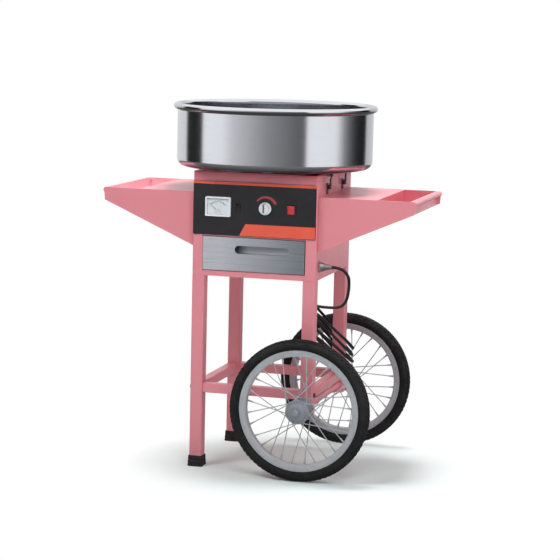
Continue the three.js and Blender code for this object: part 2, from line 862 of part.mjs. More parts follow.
// Wheel parts are turned about Z, with the axle on Z
function tyre() {
  const half = tyreWidth / 2;
  const seat = rimOuter - 5 + gap;
  const hook = rimOuter + gap;
  const crown = wheelRadius;
  return solid(ring([
    [seat, -rimWidth / 2 + 4],
    [hook, -rimWidth / 2 + 3.4],
    [hook, -rimWidth / 2 - 0.5],
    [hook + 8, -half],
    [crown - 7, -half + 3],
    [crown, -5],
    [crown, 5],
    [crown - 7, half - 3],
    [hook + 8, half],
    [hook, rimWidth / 2 + 0.5],
    [hook, rimWidth / 2 - 3.4],
    [seat, rimWidth / 2 - 4],
  ], wheelSides));
}

function rim() {
  const half = rimWidth / 2;
  const floor = rimOuter - 5;
  return solid(ring([
    [rimInner, -half + 7],
    [rimInner + 3, -half + 1.5],
    [rimOuter, -half],
    [rimOuter, -half + 3],
    [floor, -half + 3.6],
    [floor, half - 3.6],
    [rimOuter, half - 3],
    [rimOuter, half],
    [rimInner + 3, half - 1.5],
    [rimInner, half - 7],
  ], wheelSides));
}

// Hub with tangent spokes: each flange carries half of them, leading and trailing in turn
function spokedHub() {
  const half = hubLength / 2;
  const bore = journalRadius + 0.35;
  const flangeHalf = half - 12;
  const hub = ring([
    [bore, -half],
    [hubRadius - 5, -half],
    [hubRadius - 1, -flangeHalf - 3],
    [flangeRadius, -flangeHalf - 3],
    [flangeRadius, -flangeHalf + 3],
    [hubRadius - 2, -flangeHalf + 6],
    [hubRadius - 2, flangeHalf - 6],
    [flangeRadius, flangeHalf - 3],
    [flangeRadius, flangeHalf + 3],
    [hubRadius - 1, flangeHalf + 3],
    [hubRadius - 5, half],
    [bore, half],
  ], hubSides);
  const parts = [solid(hub)];
  const reach = (rimInner - gap) * Math.cos(Math.PI / wheelSides);
  for (let i = 0; i < spokeCount; i += 1) {
    const flange = i % 2 === 0 ? 1 : -1;
    const leading = i % 4 < 2 ? 1 : -1;
    const rimAngle = ((i + 0.5) / spokeCount) * 2 * Math.PI;
    const hubAngle = rimAngle + (leading * spokeSweep * Math.PI) / 180;
    const root = flangeRadius - 3.5;
    const rootZ = flange * (flangeHalf + leading * 1.6);
    const tipZ = flange * 3 + leading * flange * 1.5;
    const from = new THREE.Vector3(root * Math.cos(hubAngle), root * Math.sin(hubAngle), rootZ);
    const to = new THREE.Vector3(reach * Math.cos(rimAngle), reach * Math.sin(rimAngle), tipZ);
    parts.push(solid(rod(from, to, spokeRadius, 4)));
  }
  return join(parts);
}

// Tray reaching out along +X from the cabinet's side, seen from its root at X = 0. Its end plate
// stands back from the ends of the side plates and is rolled over at the top as a lip to push by,
// with the fingers in the recess under it.
function tray() {
  const top = trayTop;
  const root = top - trayRootDepth;
  const tip = top - trayTipDepth;
  const lipX = trayLength - lipRadius;
  const lipZ = top - lipRadius;
  const endX = trayLength - lipRadius * 0.6;
  const slope = (tip - root) / (endX - gap);
  const undersideAt = (x) => root + slope * (x - gap);
  const floorAt = (x) => undersideAt(x) + traySheet * Math.hypot(1, slope);
  const plateX = lipX + lipRadius * Math.cos(lipStart);
  const profile = (end, arcStart, steps, width) => {
    const outline = new THREE.Shape();
    outline.moveTo(gap, root);
    outline.lineTo(end, undersideAt(end));
    outline.absarc(lipX, lipZ, lipRadius, arcStart, 0.5 * Math.PI);
    outline.lineTo(gap, top);
    outline.closePath();
    return acrossY(outline, width, steps);
  };
  const inside = trayWidth - 2 * traySheet;
  const sides = [-1, 1].map((side) => {
    const plate = profile(endX, -0.3 * Math.PI, 6, traySheet);
    return solid(plate.translate(0, (side * (trayWidth - traySheet)) / 2, 0));
  });
  const innerX = plateX - traySheet;
  const room = polygon([
    [-5, floorAt(-5)],
    [innerX, floorAt(innerX)],
    [innerX, top + 5],
    [-5, top + 5],
  ]);
  const lipBore = alongY(bar(lipRadius - traySheet, -inside / 2, inside / 2, 16));
  const rollEnd = block(
    [lipX - traySheet, -inside / 2, lipZ - lipRadius - 1],
    [lipX + 1, inside / 2, lipZ],
  );
  return cut(join([solid(profile(plateX, lipStart, 10, trayWidth)), ...sides]), [
    solid(acrossY(room, inside)),
    solid(lipBore.translate(lipX, 0, lipZ)),
    rollEnd,
  ]);
}

// Deck plate over the tray's root, with its outer end folded down to the tray's floor
function deck() {
  const root = trayTop - trayRootDepth;
  const endX = trayLength - lipRadius * 0.6;
  const slope = (trayRootDepth - trayTipDepth) / (endX - gap);
  const half = trayWidth / 2 - traySheet - gap;
  const foot = root + traySheet * Math.hypot(1, slope) + slope * (deckLength - gap) + gap;
  return join([
    block([gap, -half, deckTop - traySheet], [deckLength, half, deckTop]),
    block([deckLength - traySheet, -half, foot], [deckLength, half, deckTop]),
  ]);
}

// Gland and tapered strain relief about Z, with Z pointing out of the cabinet
function cordGland() {
  const hex = new THREE.CylinderGeometry(glandRadius, glandRadius, 6, 6).rotateX(Math.PI / 2);
  const shank = glandRadius * 0.55;
  const inside = sheet + gap;
  const body = turned([
    [0, -inside - 8],
    [shank, -inside - 8],
    [shank, gap + 1],
    [glandRadius * 0.85, gap + 1],
    [glandRadius * 0.85, glandShoulder - 6],
    [glandRadius * 0.7, glandShoulder - 2],
    [cordRadius + 4, glandShoulder],
    [cordRadius + 1.4, glandLength],
    [0, glandLength],
  ], 16);
  const locknut = ring([
    [shank - 1, -inside - 5],
    [glandRadius * 0.8, -inside - 5],
    [glandRadius * 0.8, -inside],
    [shank - 1, -inside],
  ], 16);
  return join([solid(body), solid(hex.translate(0, 0, gap + 3)), solid(locknut)]);
}

// Winding round the rear right leg: it hangs on its lead and leans down to the right.
// Its centre line is a falling ellipse, so its turns come near the leg's rear face only.
const windingX = legX - 8;
const windingY = legY + legSize / 2 + gap + cordRadius + windingSlack - windingHalfWidth;
const windingTop = stretcherTop + windingAbove;
const windingStart = (-155 * Math.PI) / 180;
const windingLow = (25 * Math.PI) / 180;
const windingSteps = 24;

function windingPoint(turn) {
  const angle = windingStart - turn * 2 * Math.PI;
  const breadth = windingHalfLength + 2.5 * Math.sin(turn * 11.3);
  const tilt = windingTilt * (1 + 0.06 * Math.sin(turn * 4.1));
  return new THREE.Vector3(
    windingX + breadth * Math.cos(angle),
    windingY + windingHalfWidth * Math.sin(angle),
    windingTop - windingPitch * turn - tilt * Math.cos(angle - windingLow),
  );
}

function windingRoute() {
  const points = [];
  const count = Math.round(windingTurns * windingSteps);
  for (let step = 0; step <= count; step += 1) {
    points.push(windingPoint(step / windingSteps));
  }
  return points;
}

// Tail from the winding's last point, over and down to the plug, which hangs on it
const plugX = 65.5;
const plugY = 124.7;
const plugMouthZ = 245.7;
const tailPoints = [
  [96.9, 103.3, 289.2],
  [85, 111.4, 287.1],
  [74.8, 118.4, 279.4],
  [68, 123.1, 267.5],
  [plugX, plugY, plugMouthZ + 2 * cordRadius],
].map(([x, y, z]) => new THREE.Vector3(x, y, z));

// Lead from the gland to the winding's first point
const glandZ = cabinetUnderside + glandHeight;
const leadStart = cabinetWidth / 2 + glandLength + gap;
const leadPoints = [
  [leadStart, glandY, glandZ],
  [202, -140, 526],
  [222.5, -137, 519.5],
  [233.5, -129, 502.5],
  [233, -118, 483.5],
  [227, -97.5, 461],
  [217, -70, 440],
  [204, -40, 423.5],
  [189, -11, 411],
  [171.5, 16, 402.5],
  [152, 41.5, 397],
  [131.5, 63.5, 393.5],
  [113, 82.5, 391],
].map(([x, y, z]) => new THREE.Vector3(x, y, z));

function cordTube(points, steps, sides) {
  const section = new THREE.Shape();
  for (let i = 0; i < sides; i += 1) {
    const angle = (i / sides) * 2 * Math.PI;
    const corner = [cordRadius * Math.cos(angle), cordRadius * Math.sin(angle)];
    if (i === 0) section.moveTo(...corner);
    else section.lineTo(...corner);
  }
  section.closePath();
  const path = new THREE.CatmullRomCurve3(points, false, 'centripetal');
  path.arcLengthDivisions = 3000;
  return new THREE.ExtrudeGeometry(section, { steps, bevelEnabled: false, extrudePath: path });
}

// Point at a distance from the first of two points, on the line through them
function beyond(from, through, distance) {
  const direction = new THREE.Vector3().subVectors(through, from).normalize();
  return from.clone().addScaledVector(direction, distance);
}

function powerCord() {
  const [first, second] = [windingPoint(0), windingPoint(0.02)];
  const joint = beyond(first, second, -2 * cordRadius - gap);
  const before = beyond(first, second, -4 * cordRadius - gap);
  return solid(cordTube([...leadPoints, before, joint], 24, 8));
}

function cordWinding() {
  const [first, second] = [windingPoint(0), windingPoint(0.02)];
  const start = beyond(first, second, -2 * cordRadius);
  const plugMouth = new THREE.Vector3(plugX, plugY, plugMouthZ);
  const route = [start, ...windingRoute(), ...tailPoints, plugMouth];
  const steps = Math.round(windingTurns * windingSteps) + 6;
  reportSelfGap(route);
  return solid(cordTube(route, steps, 6));
}

// Least gap of the winding to itself, between points more than 40 mm apart along it
function reportSelfGap(route) {
  const path = new THREE.CatmullRomCurve3(route, false, 'centripetal');
  path.arcLengthDivisions = 3000;
  const length = path.getLength();
  const samples = path.getSpacedPoints(Math.round(length / 3));
  const apart = Math.ceil(40 / 3);
  let least = Infinity;
  for (let i = 0; i < samples.length; i += 1) {
    for (let j = i + apart; j < samples.length; j += 1) {
      least = Math.min(least, samples[i].distanceTo(samples[j]));
    }
  }
  const clear = (least - 2 * cordRadius).toFixed(2);
  console.log(`winding length ${length.toFixed(0)} mm, least gap to itself ${clear} mm`);
}

// Moulded plug hanging from its cord end, with two round pins at its foot
function cordPlug() {
  const grip = new THREE.Shape();
  const [w, n] = [plugWidth / 2, cordRadius + 2.5];
  const neck = plugShoulder / 2;
  const bend = (neck + plugShoulder) / 2;
  grip.moveTo(-n, 0);
  grip.lineTo(n, 0);
  grip.lineTo(n + 0.5, -neck);
  grip.quadraticCurveTo(w, -bend, w, -plugShoulder);
  grip.lineTo(w, -plugLength);
  grip.lineTo(-w, -plugLength);
  grip.lineTo(-w, -plugShoulder);
  grip.quadraticCurveTo(-w, -bend, -n - 0.5, -neck);
  grip.closePath();
  const body = extruded(grip, plugThickness, 4).translate(0, 0, -plugThickness / 2).rotateX(Math.PI / 2);
  const pins = [-1, 1].map((side) => {
    const pin = bar(pinRadius, -plugLength - pinLength, -plugLength + 2, 12);
    return solid(pin.translate((side * pinSpacing) / 2, 0, 0));
  });
  return join([solid(body), ...pins]);
}

// The machine, put together
const machine = new THREE.Group();

const cabinet = new THREE.Group();
cabinet.add(piece('cabinet_shell', cabinetShell(), pinkPaint));
cabinet.add(at(piece('top_plate', topPlate(), pinkPaint), 0, 0, topPlateUnderside));
cabinet.add(at(piece('divider_plate', dividerPlate(), satinSteel), 0, 0, panelBottom - gap));
cabinet.add(piece('control_panel', controlPanel(), blackPanel));
cabinet.add(piece('drawer', drawer(), steel));
cabinet.add(piece('drawer_runner_left', drawerRunner(-1), satinSteel));
cabinet.add(piece('drawer_runner_right', drawerRunner(1), satinSteel));
machine.add(cabinet);

const meter = new THREE.Group();
const recessFloor = panelFace - gap - meterProud + meterRecess;
const dialY = recessFloor - gap - dialSheet;
meter.position.set(meterX, 0, controlRow);
meter.add(piece('meter_case', meterCase(), whitePlastic));
meter.add(at(piece('meter_dial', meterDial(), whitePlastic), 0, dialY, 0));
meter.add(at(piece('meter_lens', meterLens(), clearWindow), 0, panelFace - gap - meterProud + 0.5, 0));
const needle = at(piece('meter_needle', meterNeedle(), blackPlastic), 0, dialY - 1.2, -needlePivotBelow);
needle.rotation.y = (-needleRestAngle * Math.PI) / 180;
meter.add(needle);
machine.add(meter);

const knob = at(piece('control_knob', controlKnob(), whitePlastic), knobX, panelFace - gap, controlRow);
knob.rotation.x = Math.PI / 2;
machine.add(knob);
machine.add(at(piece('heat_regulator', heatRegulator(), blackPlastic), knobX, 0, controlRow));

for (const [name, x, width, height, look] of [
  ['power_switch', powerSwitchX, powerSwitchWidth, powerSwitchHeight, redPlastic],
  ['heat_switch', heatSwitchX, heatSwitchWidth, heatSwitchHeight, blackPlastic],
]) {
  machine.add(at(piece(`${name}_bezel`, switchBezelFrame(width, height), blackPlastic), x, 0, controlRow));
  const paddle = at(piece(`${name}_rocker`, rocker(width, height), look), x, panelFace + 3, controlRow);
  paddle.rotation.x = (rockerTilt * Math.PI) / 180;
  machine.add(paddle);
}

machine.add(piece('bowl', bowl(), steel));

const head = new THREE.Group();
head.position.z = headUnderside;
head.add(piece('spinner_base', headBase(), castAluminium));
head.add(piece('spinner_band', headBand(), steel));
head.add(piece('spinner_cap', headCap(), castAluminium));
head.add(piece('heater_ring', heaterRing(), satinSteel));
machine.add(head);
machine.add(piece('spinner_shaft', spinnerShaft(), satinSteel));
machine.add(piece('drive_motor', driveMotor(), motorSteel));
machine.add(piece('brush_holder', brushHolder(), blackPlastic));

for (const [sideName, side] of [['left', -1], ['right', 1]]) {
  for (const [endName, end] of [['front', -1], ['rear', 1]]) {
    const latch = new THREE.Group();
    latch.position.set((side * cabinetWidth) / 2, end * latchSpread, trayTop);
    if (side < 0) latch.rotation.z = Math.PI;
    latch.add(piece(`latch_base_${endName}_${sideName}`, latchBase(), motorSteel));
    const lever = piece(`latch_lever_${endName}_${sideName}`, latchLever(), motorSteel);
    latch.add(at(lever, latchPivotX, 0, latchPivotHeight));
    machine.add(latch);

    const tube = piece(`leg_${endName}_${sideName}`, leg(side), pinkPaint);
    machine.add(at(tube, side * legX, end * legY, 0));
  }
}
for (const [endName, end] of [['front', -1], ['rear', 1]]) {
  machine.add(at(piece(`foot_${endName}_left`, rubberFoot(), blackRubber), -legX, end * legY, 0));
  const crossLength = 2 * legX - legSize - 2 * gap;
  const cross = piece(`stretcher_${endName}`, stretcher(crossLength), pinkPaint);
  cross.rotation.y = Math.PI / 2;
  machine.add(at(cross, 0, end * legY, stretcherBottom + stretcherSize / 2));
}

const axle = at(piece('wheel_axle', wheelAxle(), satinSteel), legX, 0, axleHeight);
axle.rotation.x = Math.PI / 2;
machine.add(axle);
for (const [endName, end] of [['front', -1], ['rear', 1]]) {
  const wheel = new THREE.Group();
  wheel.position.set(legX, end * wheelY, axleHeight);
  wheel.rotation.x = Math.PI / 2;
  wheel.add(piece(`tyre_${endName}`, tyre(), blackRubber));
  wheel.add(piece(`rim_${endName}`, rim(), steel));
  wheel.add(piece(`hub_${endName}`, spokedHub(), greyHub));
  machine.add(wheel);
  const nut = piece(`axle_nut_${endName}`, axleNut(), steel);
  at(nut, legX, end * (journalEnd + gap), axleHeight);
  nut.rotation.x = (-end * Math.PI) / 2;
  machine.add(nut);
}

for (const [sideName, side] of [['left', -1], ['right', 1]]) {
  const sideLength = 2 * legY - legSize - 2 * gap;
  const beam = piece(`stretcher_${sideName}`, stretcher(sideLength), pinkPaint);
  beam.rotation.x = Math.PI / 2;
  machine.add(at(beam, side * legX, 0, stretcherBottom + stretcherSize / 2));
  const wing = new THREE.Group();
  wing.position.x = (side * cabinetWidth) / 2;
  if (side < 0) wing.rotation.z = Math.PI;
  wing.add(piece(`tray_${sideName}`, tray(), pinkPaint));
  wing.add(piece(`deck_${sideName}`, deck(), pinkPaint));
  machine.add(wing);
}

const gland = at(piece('cord_gland', cordGland(), castAluminium), cabinetWidth / 2, glandY, glandZ);
gland.rotation.y = Math.PI / 2;
machine.add(gland);
machine.add(piece('power_cord', powerCord(), blackRubber));
machine.add(piece('cord_winding', cordWinding(), blackRubber));
machine.add(at(piece('cord_plug', cordPlug(), blackRubber), plugX, plugY, plugMouthZ - gap));

export default machine;
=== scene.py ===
"""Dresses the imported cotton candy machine: detailed pieces, procedural finishes, stage and camera.
Pieces are written in millimetres, as in the part's source, and become metres in build().
Finishes, lights and the camera are in metres."""
from math import asin, atan2, cos, degrees, pi, radians, sin, sqrt
import bmesh
import bpy
from mathutils import Matrix, Vector


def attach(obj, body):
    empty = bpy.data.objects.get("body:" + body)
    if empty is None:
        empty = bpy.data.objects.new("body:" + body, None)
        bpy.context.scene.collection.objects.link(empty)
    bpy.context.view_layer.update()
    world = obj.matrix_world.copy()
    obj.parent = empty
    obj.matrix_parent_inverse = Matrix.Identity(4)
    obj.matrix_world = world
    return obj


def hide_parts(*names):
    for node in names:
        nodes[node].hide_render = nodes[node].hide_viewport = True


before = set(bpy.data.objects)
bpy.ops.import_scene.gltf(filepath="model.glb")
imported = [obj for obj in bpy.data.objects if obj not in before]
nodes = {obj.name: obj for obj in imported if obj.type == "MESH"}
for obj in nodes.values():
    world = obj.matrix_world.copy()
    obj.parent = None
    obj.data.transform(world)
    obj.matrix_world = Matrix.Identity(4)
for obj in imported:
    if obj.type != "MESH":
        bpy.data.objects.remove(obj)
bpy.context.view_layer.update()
MM = 0.001
TAU = 2 * pi
QUARTER = pi / 2

# Sizes shared with the part's source
GAP = 0.3
SIDE_X, REAR_Y = 160, 175
PANEL_FACE = -177.8
ROW = 668
METER_X, PIVOT_Z, NEEDLE_Y = -92.5, 654.5, -183.4
KNOB_X = 28.5
PULL_X, PULL_Z, PULL_L, PULL_H = 22, 561.5, 141, 20
BOWL_UNDER = 759
KEEPER_Y = 78
HEAD_UNDER = 805.6
LEG_X, LEG_Y = 144, 159
TYRE_R, WHEEL_Y = 178, 235
SPOKES, FLANGE_R, FLANGE_Z = 28, 30, 21
STRETCHER_TOP = 216
CORD_R = 3.8

ENDS, SIDES = ("front", "rear"), ("left", "right")


def add_object(name, data):
    obj = bpy.data.objects.new(name, data)
    bpy.context.scene.collection.objects.link(obj)
    return obj


# Camera
CAM_AZ, CAM_EL, CAM_ROLL = radians(15.8), radians(7.84), radians(1.31)
CAM_DIST, CAM_TARGET_Z = 5.184, 0.465
PICTURE_PX, FOCAL_PX, SENSOR = 560, 2009, 36
CENTRE_PX = (272.04, 280.2)

back = Vector((sin(CAM_AZ) * cos(CAM_EL), -cos(CAM_AZ) * cos(CAM_EL), sin(CAM_EL)))
camera_data = bpy.data.cameras.new("camera")
camera = add_object("camera", camera_data)
camera.location = Vector((0, 0, CAM_TARGET_Z)) + back * CAM_DIST
camera.rotation_mode = "QUATERNION"
camera.rotation_quaternion = ((-back).to_track_quat("-Z", "Y")
                              @ Matrix.Rotation(CAM_ROLL, 3, "Z").to_quaternion())
camera_data.sensor_width = SENSOR
camera_data.lens = FOCAL_PX * SENSOR / PICTURE_PX
camera_data.shift_x = (PICTURE_PX / 2 - CENTRE_PX[0]) / PICTURE_PX
camera_data.shift_y = (CENTRE_PX[1] - PICTURE_PX / 2) / PICTURE_PX
camera_data.clip_start, camera_data.clip_end = 0.1, 100
bpy.context.scene.camera = camera


# Shapes: each is (verts, faces)
def vec(x, y, z):
    return Vector((x, y, z))


def shift(x, y, z):
    return Matrix.Translation((x, y, z))


def turned(angle, axis):
    return Matrix.Rotation(radians(angle), 4, axis)


def turned_to(direction):
    """Turns Z to a direction."""
    return Vector(direction).to_track_quat("Z", "Y").to_matrix().to_4x4()


def moved(shape, matrix):
    verts, faces = shape
    return [list(matrix @ Vector(v)) for v in verts], faces


def all_moved(shapes, matrix):
    return [moved(shape, matrix) for shape in shapes]


def arc(centre, radius, start, stop, steps):
    """Points on a circle, with the angles in radians."""
    angles = [start + (stop - start) * k / steps for k in range(steps + 1)]
    return [(centre[0] + radius * cos(a), centre[1] + radius * sin(a)) for a in angles]


def mirrored(half):
    """A profile (r, z) and its mirror image above it."""
    return half + [(r, -z) for r, z in reversed(half)]


def lathe(profile, segments=96, closed=True, bulge=None):
    """Profile (r, z) turned about Z. bulge(angle, row) scales a row's radius."""
    rows = len(profile)
    verts, faces = [], []
    for i in range(segments):
        a = i / segments * TAU
        for row, (r, z) in enumerate(profile):
            k = bulge(a, row) if bulge else 1
            verts.append([r * k * cos(a), r * k * sin(a), z])

    def vertex(i, row):
        """A row on the axis has one vertex for all segments."""
        return row if profile[row][0] < 1e-6 else i % segments * rows + row
    for i in range(segments):
        for row in range(rows if closed else rows - 1):
            nxt = (row + 1) % rows
            corners = ((i, row), (i + 1, row), (i + 1, nxt), (i, nxt))
            face = list(dict.fromkeys(vertex(*corner) for corner in corners))
            if len(face) > 2:
                faces.append(face)
    return verts, faces


def box_shape(low, high):
    (x0, y0, z0), (x1, y1, z1) = low, high
    verts = [[x, y, z] for x in (x0, x1) for y in (y0, y1) for z in (z0, z1)]
    faces = [[0, 1, 3, 2], [4, 6, 7, 5], [0, 4, 5, 1], [2, 3, 7, 6], [0, 2, 6, 4], [1, 5, 7, 3]]
    return verts, faces


def loops_shape(loops, cap_first=True, cap_last=True):
    """Closed loops of equal point count, skinned in order."""
    n = len(loops[0])
    verts = [list(p) for loop in loops for p in loop]
    faces = []
    for k in range(len(loops) - 1):
        for i in range(n):
            j = (i + 1) % n
            faces.append([k * n + i, k * n + j, (k + 1) * n + j, (k + 1) * n + i])
    if cap_first:
        faces.append(list(range(n))[::-1])
    if cap_last:
        faces.append([(len(loops) - 1) * n + i for i in range(n)])
    return verts, faces


def rounded_loop(width, height, radius, per_corner=8, middle=(0, 0)):
    points = []
    w, h = width / 2 - radius, height / 2 - radius
    for k, (cx, cy) in enumerate([(w, h), (-w, h), (-w, -h), (w, -h)]):
        points += arc((cx + middle[0], cy + middle[1]), radius, k * QUARTER, (k + 1) * QUARTER,
                      per_corner)
    return points


def slab(outline, y0, y1):
    """An outline in X and Z, made solid between two places along Y."""
    return loops_shape([[(x, y, z) for x, z in outline] for y in (y0, y1)])


def circle(radius, sides, centre=(0, 0)):
    return arc(centre, radius, 0, TAU, sides)[:-1]


def hexagon(radius, levels):
    """Six-sided solid about Z. levels are (share of the radius, z)."""
    return loops_shape([[(x, y, z) for x, y in circle(radius * s, 6)] for s, z in levels])


def rod(a, b, radius, sides):
    place = turned_to(b - a)
    ring = [place @ vec(x, y, 0) for x, y in circle(radius, sides)]
    return loops_shape([[end + p for p in ring] for end in (a, b)])


def tick(centre, angle, inner, outer, half):
    """Outline of a short radial mark, twice half wide."""
    c, s = cos(angle), sin(angle)
    return [(centre[0] + r * c - side * s * half, centre[1] + r * s + side * c * half)
            for r, side in ((inner, 1), (inner, -1), (outer, -1), (outer, 1))]


# Objects
def in_metres(points):
    return [[c * MM for c in point] for point in points]


def add_bevel(obj, width, angle=35, clamp=True):
    modifier = obj.modifiers.new("edge", "BEVEL")
    modifier.width = width * MM
    modifier.segments = 2
    modifier.limit_method = "ANGLE"
    modifier.angle_limit = radians(angle)
    modifier.use_clamp_overlap = clamp


def add_weighted_normals(obj, weight=50):
    modifier = obj.modifiers.new("weighted", "WEIGHTED_NORMAL")
    modifier.keep_sharp = True
    modifier.weight = weight


def finished(name, mesh, body, material, replaces, sharp=32, bevel=None, weight=None):
    """An object of a mesh in metres: welded, smooth but for sharp angles, riding on a body."""
    for polygon in mesh.polygons:
        polygon.use_smooth = True
    bm = bmesh.new()
    bm.from_mesh(mesh)
    bmesh.ops.remove_doubles(bm, verts=bm.verts, dist=1e-7)
    bmesh.ops.recalc_face_normals(bm, faces=bm.faces)
    bm.to_mesh(mesh)
    bm.free()
    mesh.set_sharp_from_angle(angle=radians(sharp))
    mesh.materials.clear()
    mesh.materials.append(material)
    obj = add_object(name, mesh)
    if bevel:
        add_bevel(obj, bevel)
    if weight:
        add_weighted_normals(obj, weight)
    if replaces:
        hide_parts(*replaces)
    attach(obj, body)
    return obj


def build(name, parts, body, material, replaces=(), sharp=32, bevel=None):
    """One object of the given parts."""
    verts, faces = [], []
    for part_verts, part_faces in parts:
        base = len(verts)
        verts += part_verts
        faces += [[i + base for i in face] for face in part_faces]
    mesh = bpy.data.meshes.new(name)
    mesh.from_pydata(in_metres(verts), [], faces)
    mesh.validate()
    return finished(name, mesh, body, material, replaces, sharp, bevel)


def add_line(curve, points):
    """A polyline of a curve through points in mm."""
    line = curve.splines.new("POLY")
    line.points.add(len(points) - 1)
    for point, place in zip(line.points, in_metres(points)):
        point.co = (*place, 1)
    return line


def curve_plate(name, outer, hole, y_front, thickness, edge, body, material, replaces):
    """Flat plate in X and Z with a hole and rounded edges, made from filled outlines."""
    data = bpy.data.curves.new(name, "CURVE")
    data.dimensions = "2D"
    data.fill_mode = "BOTH"
    data.extrude = (thickness / 2 - edge) * MM
    data.bevel_depth = edge * MM
    data.bevel_resolution = 2
    data.offset = -edge * MM
    for outline in (outer, hole):
        add_line(data, [(x, z, 0) for x, z in outline]).use_cyclic_u = True
    temporary = add_object(name + "_curve", data)
    bpy.context.view_layer.update()
    evaluated = temporary.evaluated_get(bpy.context.evaluated_depsgraph_get())
    mesh = bpy.data.meshes.new_from_object(evaluated)
    bpy.data.objects.remove(temporary)
    # X stays, the curve's Y becomes height, and the plate's front looks to -Y
    middle = (y_front + thickness / 2) * MM
    mesh.transform(Matrix(((1, 0, 0, 0), (0, 0, -1, middle), (0, 1, 0, 0), (0, 0, 0, 1))))
    return finished(name, mesh, body, material, replaces, weight=100)


def smooth_group():
    """Geometry nodes that shade smooth except over sharp angles."""
    tree = bpy.data.node_groups.new("smooth_by_angle", "GeometryNodeTree")
    for way in ("INPUT", "OUTPUT"):
        tree.interface.new_socket("Geometry", in_out=way, socket_type="NodeSocketGeometry")
    enter, leave, angle, compare, smooth, sharp = [tree.nodes.new(kind) for kind in (
        "NodeGroupInput", "NodeGroupOutput", "GeometryNodeInputMeshEdgeAngle",
        "FunctionNodeCompare", "GeometryNodeSetShadeSmooth", "GeometryNodeSetShadeSmooth")]
    compare.data_type, compare.operation = "FLOAT", "GREATER_THAN"
    compare.inputs[1].default_value = radians(32)
    smooth.domain, sharp.domain = "FACE", "EDGE"
    sharp.inputs["Shade Smooth"].default_value = False
    link = tree.links.new
    link(enter.outputs[0], smooth.inputs["Geometry"])
    link(smooth.outputs[0], sharp.inputs["Geometry"])
    link(angle.outputs["Unsigned Angle"], compare.inputs[0])
    link(compare.outputs[0], sharp.inputs["Selection"])
    link(sharp.outputs[0], leave.inputs[0])
    return tree


SMOOTH = smooth_group()


def dress(name, material, bevel):
    """A CAD node that is kept: its material, softened edges and smooth curved faces."""
    obj = nodes[name]
    weld = obj.modifiers.new("weld", "WELD")
    weld.merge_threshold = 2e-6
    if bevel:
        add_bevel(obj, bevel, 40, clamp=False)
    smooth = obj.modifiers.new("smooth", "NODES")
    smooth.node_group = SMOOTH
    add_weighted_normals(obj)
    obj.data.materials.clear()
    obj.data.materials.append(material)


# Materials
def srgb(*rgb):
    def linear(c):
        c /= 255
        return c / 12.92 if c <= 0.04045 else ((c + 0.055) / 1.055) ** 2.4
    return (*[linear(c) for c in rgb], 1)


def darker(colour, share):
    return (*[c * share for c in colour[:3]], 1)


class Shading:
    """A shader node tree with short ways to add to it."""

    def __init__(self, tree):
        self.tree = tree

    def fill(self, node, sockets):
        """Sets a node's inputs, named with _ for a space or numbered, or links outputs to them."""
        for key, value in sockets.items():
            socket = node.inputs[key.replace("_", " ") if isinstance(key, str) else key]
            if isinstance(value, bpy.types.NodeSocket):
                self.tree.links.new(value, socket)
            else:
                socket.default_value = value
        return node

    def node(self, kind, *in_order, operation=None, **named):
        """New node. Its inputs go in order or by name."""
        made = self.tree.nodes.new("ShaderNode" + kind)
        if operation:
            made.operation = operation
        return self.fill(made, {**dict(enumerate(in_order)), **named})

    def math(self, operation, *values):
        return self.node("Math", *values, operation=operation).outputs[0]

    def ramp(self, value, low, high, to_low=0, to_high=1):
        return self.node("MapRange", Value=value, From_Min=low, From_Max=high, To_Min=to_low,
                         To_Max=to_high).outputs["Result"]

    def ray(self, *kinds):
        """1 for rays of these kinds, and 0 for the rest."""
        path = self.node("LightPath")
        total = path.outputs[kinds[0]]
        for kind in kinds[1:]:
            total = self.math("MAXIMUM", total, path.outputs[kind])
        return total


class Finish(Shading):
    """A procedural material: a Principled shader with helpers that add detail to it."""

    def __init__(self, name, colour, roughness, metallic=0, **sockets):
        self.material = bpy.data.materials.new(name)
        self.material.use_nodes = True
        super().__init__(self.material.node_tree)
        self.shader = self.tree.nodes["Principled BSDF"]
        self.colour = colour
        self.normal = None
        self.shade(Base_Color=colour, Roughness=roughness, Metallic=metallic, **sockets)
        self.coordinates = self.node("TexCoord").outputs["Object"]

    def shade(self, **sockets):
        self.fill(self.shader, sockets)

    def axis(self, index):
        return self.node("SeparateXYZ", self.coordinates).outputs[index]

    def noise(self, scale, detail, stretch=None, vector=None):
        source = vector or self.coordinates
        if stretch:
            source = self.node("Mapping", Vector=source, Scale=stretch).outputs["Vector"]
        return self.node("TexNoise", Vector=source, Scale=scale, Detail=detail,
                         Roughness=0.55).outputs["Fac"]

    def tint(self, factor, colour):
        """Mixes a colour over what is there."""
        mix = self.node("Mix")
        mix.data_type = "RGBA"
        self.fill(mix, {0: factor, 6: self.colour, 7: colour})
        self.colour = mix.outputs[2]
        self.shade(Base_Color=self.colour)

    def bump(self, height, strength, distance):
        node = self.node("Bump", Strength=strength, Distance=distance, Height=height)
        if self.normal:
            self.fill(node, {"Normal": self.normal})
        self.normal = node.outputs["Normal"]
        self.shade(Normal=self.normal)

    def mottle(self, colour, scale, detail, low, high, amount):
        """Blotches or grains of another colour."""
        self.tint(self.ramp(self.noise(scale, detail), low, high, 0, amount), colour)

    def uneven(self, scale, detail, low, high):
        """Roughness that wanders between two values."""
        self.shade(Roughness=self.ramp(self.noise(scale, detail), 0.3, 0.7, low, high))

    def grain(self, scale, detail, strength, distance):
        self.bump(self.noise(scale, detail), strength, distance)

    def edges(self, colour):
        """Lighter where the surface turns out over an edge."""
        pointiness = self.node("NewGeometry").outputs["Pointiness"]
        worn = self.ramp(pointiness, 0.52, 0.6, 0, 0.6)
        breakup = self.ramp(self.noise(60, 3), 0.35, 0.6)
        self.tint(self.math("MULTIPLY", worn, breakup), colour)


